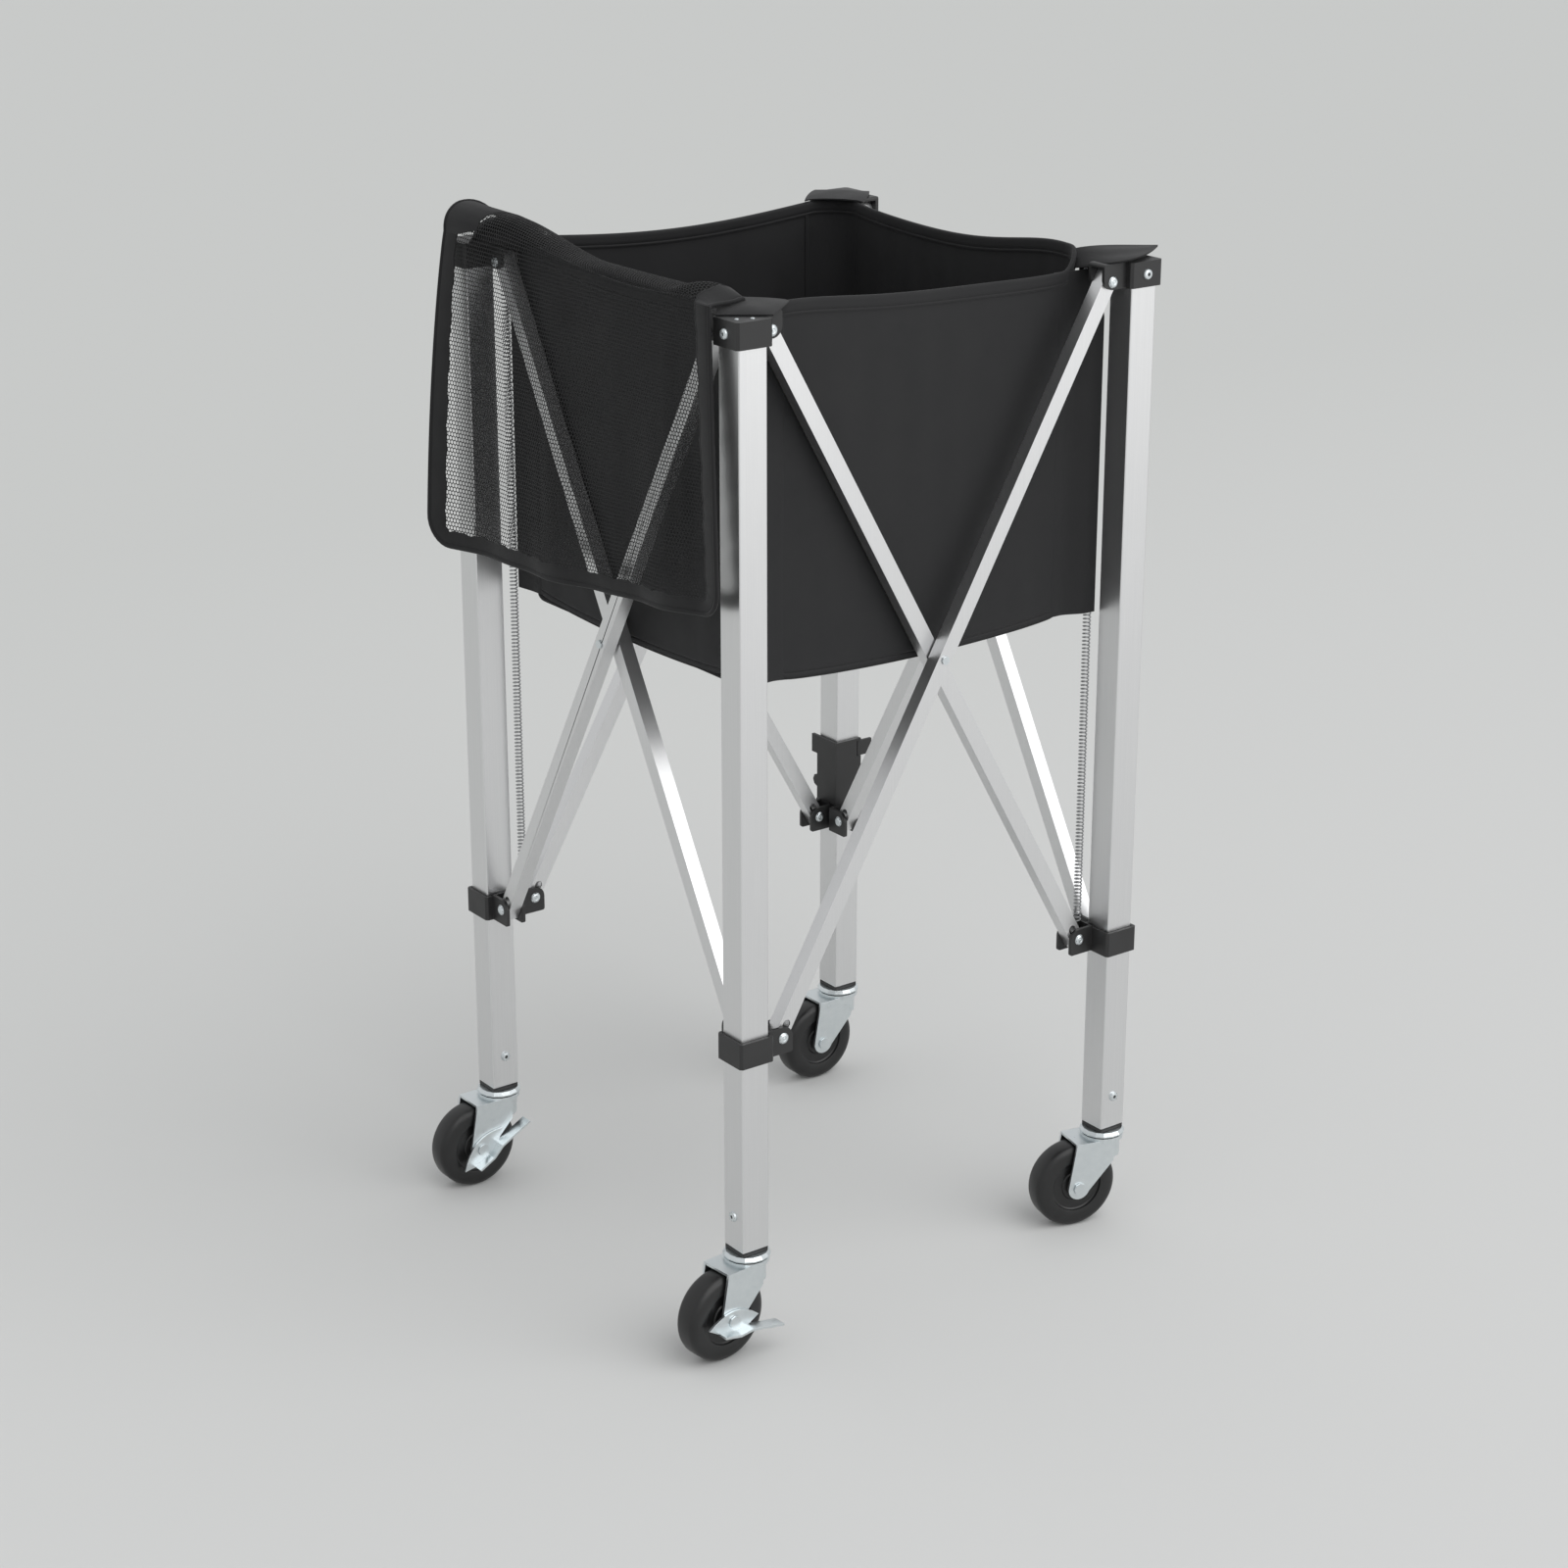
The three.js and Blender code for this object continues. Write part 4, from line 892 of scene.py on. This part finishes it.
# The corner tabs: the guiding points of each one's two edges, from the bag outwards, and its middle's lift.
TAB_MM = 1.2
TAB_STEPS = 14
TAB_END_POWER = 7
TAB_SIDE_POWER = 0.5
TAB_CREASE_MM = 0.4
TAB_CREASE_TURNS = (9, 4)
TABS_MM = {
    "front_left": (
        [(-128, -163, 823.5), (-147, -182, 825), (-166, -196, 823.4)],
        [(-163, -128, 823.5), (-183, -150, 825), (-199, -172, 823.4)],
        1.5,
    ),
    "front_right": (
        [(148, -157.3, 815), (146, -220, 829), (178, -206, 826), (225, -168, 825)],
        [(155, -149.5, 827.5), (178, -150, 829), (204, -160, 826), (225, -168, 825.2)],
        0.3,
    ),
    "rear_right": (
        [(163, 128, 823.5), (184, 146, 825.5), (199, 166, 823.6)],
        [(128, 163, 823.5), (147, 184, 825.5), (166, 199, 823.6)],
        2.0,
    ),
    "rear_left": (
        [(-163, 140, 823), (-190, 146, 824), (-199, 165, 823.4)],
        [(-144, 163, 824), (-154, 186, 825), (-172, 199, 823.6)],
        16.0,
    ),
}


def bow(points, t):
    """A point of the curve that a few guiding points pull into shape."""
    points = [np.array(p, float) for p in points]
    while len(points) > 1:
        points = [a + (b - a) * t for a, b in zip(points, points[1:])]
    return points[0]


def tab_point(near, far, lift, s, t):
    """A point of a tab: s runs between its edges, t from the bag outwards."""
    spot = bow(near, t) * (1 - s) + bow(far, t) * s
    arched = math.sin(math.pi * s)
    swell = lift * (1 - t ** TAB_END_POWER) * arched ** TAB_SIDE_POWER
    across, along = TAB_CREASE_TURNS
    crease = TAB_CREASE_MM * math.sin(across * s + along * t) * math.sin(math.pi * t) * arched
    return spot + np.array([0, 0, swell + crease])


def add_corner_tabs():
    """A doubled cloth tab from each corner of the rim over the top of the leg."""
    shares = [i / TAB_STEPS for i in range(TAB_STEPS + 1)]
    for corner, (near, far, lift) in TABS_MM.items():
        top = [tab_point(near, far, lift, s, t) for s in shares for t in shares]
        bottom = [(x, y, z - TAB_MM) for x, y, z in top]
        shape = closed_patch(top, bottom, TAB_STEPS + 1, TAB_STEPS + 1)
        # A tab whose two edges lie the other way round has its faces turned over.
        (ax, ay, _), (bx, by, _), (cx, cy, _) = near[0], near[-1], far[1]
        if (bx - ax) * (cy - ay) < (by - ay) * (cx - ax):
            shape.faces = turned_over(shape.faces)
        piece = shape.build("bag_tab_" + corner, BINDING, 0, CLOTH_SHARP_DEG)
        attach(piece, corner + "_leg")


# The mesh lid: an arch from the rim over the bars, then a flap that hangs outside the left side. Pairs are
# at the top and at the foot, or at the front and at the rear.
LID_WIDTH_MM = 375.0
LID_INSIDE_MM = -BAG_HALF_MM + 1.0
ARCH_MM = 66.0
ARCH_RIM_MM = (-151.0, 150.0)
ARCH_OVER_RIM_MM = 0.8
ARCH_OPENS_BY = 1.5
ARCH_POWER = 0.8
# The arch's crest: bumps with their middle, half width and height, and steps with start, length and rise.
CREST_MM = 833.0
CREST_BUMPS_MM = [(-136, 24, 6.0), (164, 14, -4.0)]
CREST_STEPS_MM = [(-146, -16, -5.0), (0, 125, 16.0), (168, 16, 3.0)]
FLAP_FRONT_MM = (-175.0, -196.0)
FLAP_REAR_MM = (189.0, 208.0)
FLAP_REAR_POWER = 2.2
FLAP_FOOT_MM = (606.0, 573.0)
FLAP_DROP_MM = LID_HINGE_MM - sum(FLAP_FOOT_MM) / 2
FLAP_ROUND_MM = 24.0
FLAP_SAG_MM = 5
FLAP_STAND_MM = 1.5
FLAP_LOOSE_POWER = 0.8
FLAP_WAVES_MM = (3.2, 1.3)
FLAP_WAVE_TURNS = (2.4, 5.3)
FLAP_WAVE_LEAN = 0.12
FLAP_WAVE_PHASE = 0.3
FLAP_CURLS_MM = (6, 8)
FLAP_CURL_SHARES = (0.09, 0.1)
SURFACE_STEP = 1e-3


def crest_height(y):
    """The top of the arch: a fold near the front corner, and a hump over the rear one."""
    bumps = sum(height * smooth(1 - np.abs(y - middle) / half) for middle, half, height in CREST_BUMPS_MM)
    steps = sum(rise * smooth((y - start) / length) for start, length, rise in CREST_STEPS_MM)
    return CREST_MM + bumps + steps


def arch_surface(across, over):
    """Points of the arch: across and over go from 0 to 1, from the front and from the rim."""
    front = ARCH_RIM_MM[0] + over * (FLAP_FRONT_MM[0] - ARCH_RIM_MM[0])
    rear = ARCH_RIM_MM[1] + smooth(over * ARCH_OPENS_BY) * (FLAP_REAR_MM[0] - ARCH_RIM_MM[1])
    y = front + across * (rear - front)
    rim = rim_height(3, (BAG_STRAIGHT_MM - y) / (2 * BAG_STRAIGHT_MM)) + ARCH_OVER_RIM_MM
    x = LID_INSIDE_MM + (-LID_OUT_MM - LID_INSIDE_MM) * (1 - np.cos(over * np.pi)) / 2
    line = rim + (LID_HINGE_MM - rim) * over
    middle = (rim + LID_HINGE_MM) / 2
    z = line + (crest_height(y) - middle) * np.sin(over * np.pi) ** ARCH_POWER
    return np.stack([x, y, z], -1)


def flap_waves(across, down):
    """How far the flap's waves and curled edges stand out."""
    broad, fine = FLAP_WAVES_MM
    few, many = FLAP_WAVE_TURNS
    wave = broad * (1 - np.cos(2 * np.pi * (across * few + FLAP_WAVE_LEAN * down)))
    wave = wave + fine * np.sin(2 * np.pi * (across * many + FLAP_WAVE_PHASE))
    front, rear = FLAP_CURL_SHARES
    curl = FLAP_CURLS_MM[0] * np.clip(1 - across / front, 0, 1) ** 2
    curl = curl + FLAP_CURLS_MM[1] * np.clip((across - 1 + rear) / rear, 0, 1) ** 2
    return wave + curl


def flap_surface(across, down):
    """Points of the flap: across and down go from 0 to 1, from the front and from the hinge line."""
    front = FLAP_FRONT_MM[0] + down * (FLAP_FRONT_MM[1] - FLAP_FRONT_MM[0])
    lean = np.clip(1 - down, 0, 1) ** FLAP_REAR_POWER
    rear = FLAP_REAR_MM[1] - (FLAP_REAR_MM[1] - FLAP_REAR_MM[0]) * lean
    y = front + across * (rear - front)
    foot = FLAP_FOOT_MM[0] + across * (FLAP_FOOT_MM[1] - FLAP_FOOT_MM[0])
    z = LID_HINGE_MM + down * (foot - LID_HINGE_MM) - FLAP_SAG_MM * np.sin(np.pi * across) * down
    loose = np.clip(down, 0, 2) ** FLAP_LOOSE_POWER
    x = -LID_OUT_MM - loose * (flap_waves(across, down) + FLAP_STAND_MM)
    return np.stack([x, y, z], -1)


def normals_of(surface, across, down):
    low, high = (np.clip(across + step, 0, 1) for step in (-SURFACE_STEP, SURFACE_STEP))
    along = surface(high, down) - surface(low, down)
    low, high = (np.clip(down + step, 0, 1) for step in (-SURFACE_STEP, SURFACE_STEP))
    fall = surface(across, high) - surface(across, low)
    normal = np.cross(along, fall)
    return normal / np.linalg.norm(normal, axis=-1)[..., None]


# The net: hexagon tiles with hexagon holes, in the lid's flat plane.
SIDE_BAND_MM = 19.0
FOOT_BAND_MM = 13.0
NET_TUCK_MM = 4.0
NET_INSET_MM = FOOT_BAND_MM - NET_TUCK_MM
NET_PITCH_MM = 3.3
NET_RISE_MM = NET_PITCH_MM * 0.92
NET_STRAND_SHARE = 0.24
NET_THICK_MM = 0.34
NET_GRID_PER_MM = 50
HEXAGON_SHARES = [(0.0, 2 / 3), (0.5, 1 / 3), (0.5, -1 / 3), (0.0, -2 / 3), (-0.5, -1 / 3), (-0.5, 1 / 3)]


def add_tile(points, known, x, y):
    """Adds the points of one tile, which shares its rim with its neighbours, and gives its faces."""
    rim, hole = [], []
    hole_share = 1 - NET_STRAND_SHARE
    for across, down in HEXAGON_SHARES:
        spot = (x + across * NET_PITCH_MM, y + down * NET_RISE_MM)
        key = (round(spot[0] * NET_GRID_PER_MM), round(spot[1] * NET_GRID_PER_MM))
        if key not in known:
            known[key] = len(points)
            points.append(spot)
        rim.append(known[key])
        hole.append(len(points))
        points.append((x + across * NET_PITCH_MM * hole_share, y + down * NET_RISE_MM * hole_share))
    count = len(HEXAGON_SHARES)
    return [(rim[k], rim[(k + 1) % count], hole[(k + 1) % count], hole[k]) for k in range(count)]


def net_tiles(drop, keep_in):
    """Tiles that fill the lid's width by drop: points and quads."""
    points, faces, known = [], [], {}
    for j in range(int(drop / NET_RISE_MM) + 1):
        for i in range(int(LID_WIDTH_MM / NET_PITCH_MM) + 1):
            x, y = (i + 0.5 * (j % 2)) * NET_PITCH_MM, j * NET_RISE_MM
            if keep_in(x, y):
                faces += add_tile(points, known, x, y)
    return np.array(points), faces


def in_arch(x, y):
    return NET_INSET_MM <= x <= LID_WIDTH_MM - NET_INSET_MM and y <= ARCH_MM


def in_flap(x, y):
    """True inside the flap's outline, whose lower corners are round."""
    if not (NET_INSET_MM <= x <= LID_WIDTH_MM - NET_INSET_MM and y <= FLAP_DROP_MM - NET_INSET_MM):
        return False
    side = FLAP_ROUND_MM - min(x, LID_WIDTH_MM - x)
    low = y - FLAP_DROP_MM + FLAP_ROUND_MM
    return side <= 0 or low <= 0 or math.hypot(side, low) <= FLAP_ROUND_MM - NET_INSET_MM


def thicken(piece):
    """Gives a flat net's yarn a depth, so that it closes when seen along its surface."""
    depth = piece.modifiers.new("depth", "SOLIDIFY")
    depth.thickness = NET_THICK_MM * MM
    depth.offset = 0
    bpy.context.view_layer.update()
    solid = piece.evaluated_get(bpy.context.evaluated_depsgraph_get())
    piece.data = bpy.data.meshes.new_from_object(solid)
    piece.modifiers.clear()


def add_net(name, surface, drop, keep_in, thick=False):
    spots, faces = net_tiles(drop, keep_in)
    across = np.clip(spots[:, 0] / LID_WIDTH_MM, 0, 1)
    down = np.clip(spots[:, 1] / drop, 0, 1)
    piece = add_mesh(name, placed(surface(across, down)), faces, YARN, THREAD_SHARP_DEG)
    layer = piece.data.uv_layers.new(name="OFBake")
    loops = np.array([loop.vertex_index for loop in piece.data.loops])
    uv = np.stack([across[loops], down[loops]], 1).astype(np.float32)
    layer.data.foreach_set("uv", uv.ravel())
    if thick:
        thicken(piece)
    return piece


# The corded tape round the lid. Half of its section: how far in from its outer edge, and the share of the
# cord's radius; then the same, measured out from its inner edge.
CORD_MM = 1.7
TAPE_OUTER = [
    (-0.8, 0.0), (-0.5, 0.5), (0.2, 0.88), (1.0, 1.0), (1.8, 0.88), (2.5, 0.5), (3.0, 0.28), (3.6, 0.45),
    (5.0, 0.52),
]
TAPE_INNER = [(2.4, 0.5), (1.8, 0.36), (1.2, 0.5), (0.3, 0.35), (0.0, 0.0)]
# The tape's width wavers by these, at so many radians for each step of its path.
TAPE_WAVERS_MM = (0.7, 0.5)
TAPE_WAVER_STEPS = (0.83, 2.1)
TAPE_END = 0.002
HUMP_CLOTH_MM = 30.0
HUMP_STARTS = (0.5, 6)
HUMP_ENDS = 12
EDGE_STEPS = 50
ROUND_STEPS = 8
FOOT_STEPS = 90
ARCH_STEPS = 24


def tape_section(width):
    """The whole section of the tape: (inward, out of the surface) pairs."""
    half = TAPE_OUTER + [(width - edge, share) for edge, share in TAPE_INNER]
    half = [(inward, share * CORD_MM) for inward, share in half]
    return half + [(inward, -out) for inward, out in half[-2:0:-1]]


def tape_width(i, spot, drop, spread):
    """The tape's width at a place of its path; spread widens it inside the hump."""
    _, y, in_x, in_y = spot
    width = math.hypot(SIDE_BAND_MM * in_x, FOOT_BAND_MM * in_y)
    start, growth = HUMP_STARTS
    width += spread * float(smooth(start + y / drop * growth) * smooth((1 - y / drop) * HUMP_ENDS))
    slow, fast = TAPE_WAVER_STEPS
    return width + TAPE_WAVERS_MM[0] * math.sin(i * slow) + TAPE_WAVERS_MM[1] * math.sin(i * fast + 1)


def tape_ring(surface, spot, width, drop):
    """The points round the tape at one place of its path."""
    x, y, in_x, in_y = spot
    ring = []
    for inward, out in tape_section(width):
        across = np.array((x + in_x * inward) / LID_WIDTH_MM)
        down = np.array((y + in_y * inward) / drop)
        inside = [np.clip(value, TAPE_END, 1 - TAPE_END) for value in (across, down)]
        ring.append(surface(across, down) + normals_of(surface, *inside) * out)
    return ring


def band(name, surface, path, drop, spread=0.0):
    """A corded tape along an edge of the lid: path gives (x, y, inward x, inward y) in its flat plane."""
    rings = [tape_ring(surface, spot, tape_width(i, spot, drop, spread), drop) for i, spot in enumerate(path)]
    rings = np.array(rings)
    faces = ring_faces(*rings.shape[:2])
    piece = add_mesh(name, placed(rings), faces, BINDING, BAND_SHARP_DEG)
    return piece


def flap_corner(middle, first, start):
    """A round corner of the flap's outline about x = middle, from the angle start by a quarter turn."""
    level = FLAP_DROP_MM - FLAP_ROUND_MM
    path = []
    for i in range(first, ROUND_STEPS + 1):
        angle = start - i / ROUND_STEPS * math.pi / 2
        across, down = math.cos(angle), math.sin(angle)
        path.append((middle + FLAP_ROUND_MM * across, level + FLAP_ROUND_MM * down, -across, -down))
    return path


def flap_edge_path():
    """Down the front edge, along the foot and up the rear edge."""
    level = FLAP_DROP_MM - FLAP_ROUND_MM
    foot = LID_WIDTH_MM - 2 * FLAP_ROUND_MM
    path = [(0.0, level * i / EDGE_STEPS, 1.0, 0.0) for i in range(EDGE_STEPS + 1)]
    path += flap_corner(FLAP_ROUND_MM, 1, math.pi)
    path += [(FLAP_ROUND_MM + foot * i / FOOT_STEPS, FLAP_DROP_MM, 0.0, -1.0) for i in range(1, FOOT_STEPS)]
    path += flap_corner(LID_WIDTH_MM - FLAP_ROUND_MM, 0, math.pi / 2)
    path += [(LID_WIDTH_MM, level * (1 - i / EDGE_STEPS), -1.0, 0.0) for i in range(1, EDGE_STEPS + 1)]
    return path


def add_lid():
    arch_net = add_net("lid_arch_net", arch_surface, ARCH_MM, in_arch, thick=True)
    flap_net = add_net("lid_flap_net", flap_surface, FLAP_DROP_MM, in_flap)
    flap_band = band("lid_flap_binding", flap_surface, flap_edge_path(), FLAP_DROP_MM)
    shares = [i / ARCH_STEPS for i in range(ARCH_STEPS + 1)]
    front_path = [(0.0, ARCH_MM * share, 1.0, 0.0) for share in shares]
    rear_path = [(LID_WIDTH_MM, ARCH_MM * (1 - share), -1.0, 0.0) for share in shares]
    front_band = band("lid_arch_binding_front", arch_surface, front_path, ARCH_MM)
    rear_band = band("lid_arch_binding_rear", arch_surface, rear_path, ARCH_MM, HUMP_CLOTH_MM)
    for piece in (arch_net, front_band, rear_band):
        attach(piece, "front_left_leg")
    for piece in (flap_net, flap_band):
        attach(piece, "mesh_lid")
    for piece in (arch_net, front_band, rear_band, flap_net, flap_band):
        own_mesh(piece)
    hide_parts("mesh_lid")


add_camera()
dress_frame()
add_rivets()
add_wheels()
add_springs()
add_bag()
add_lid()
add_floor()
add_studio()
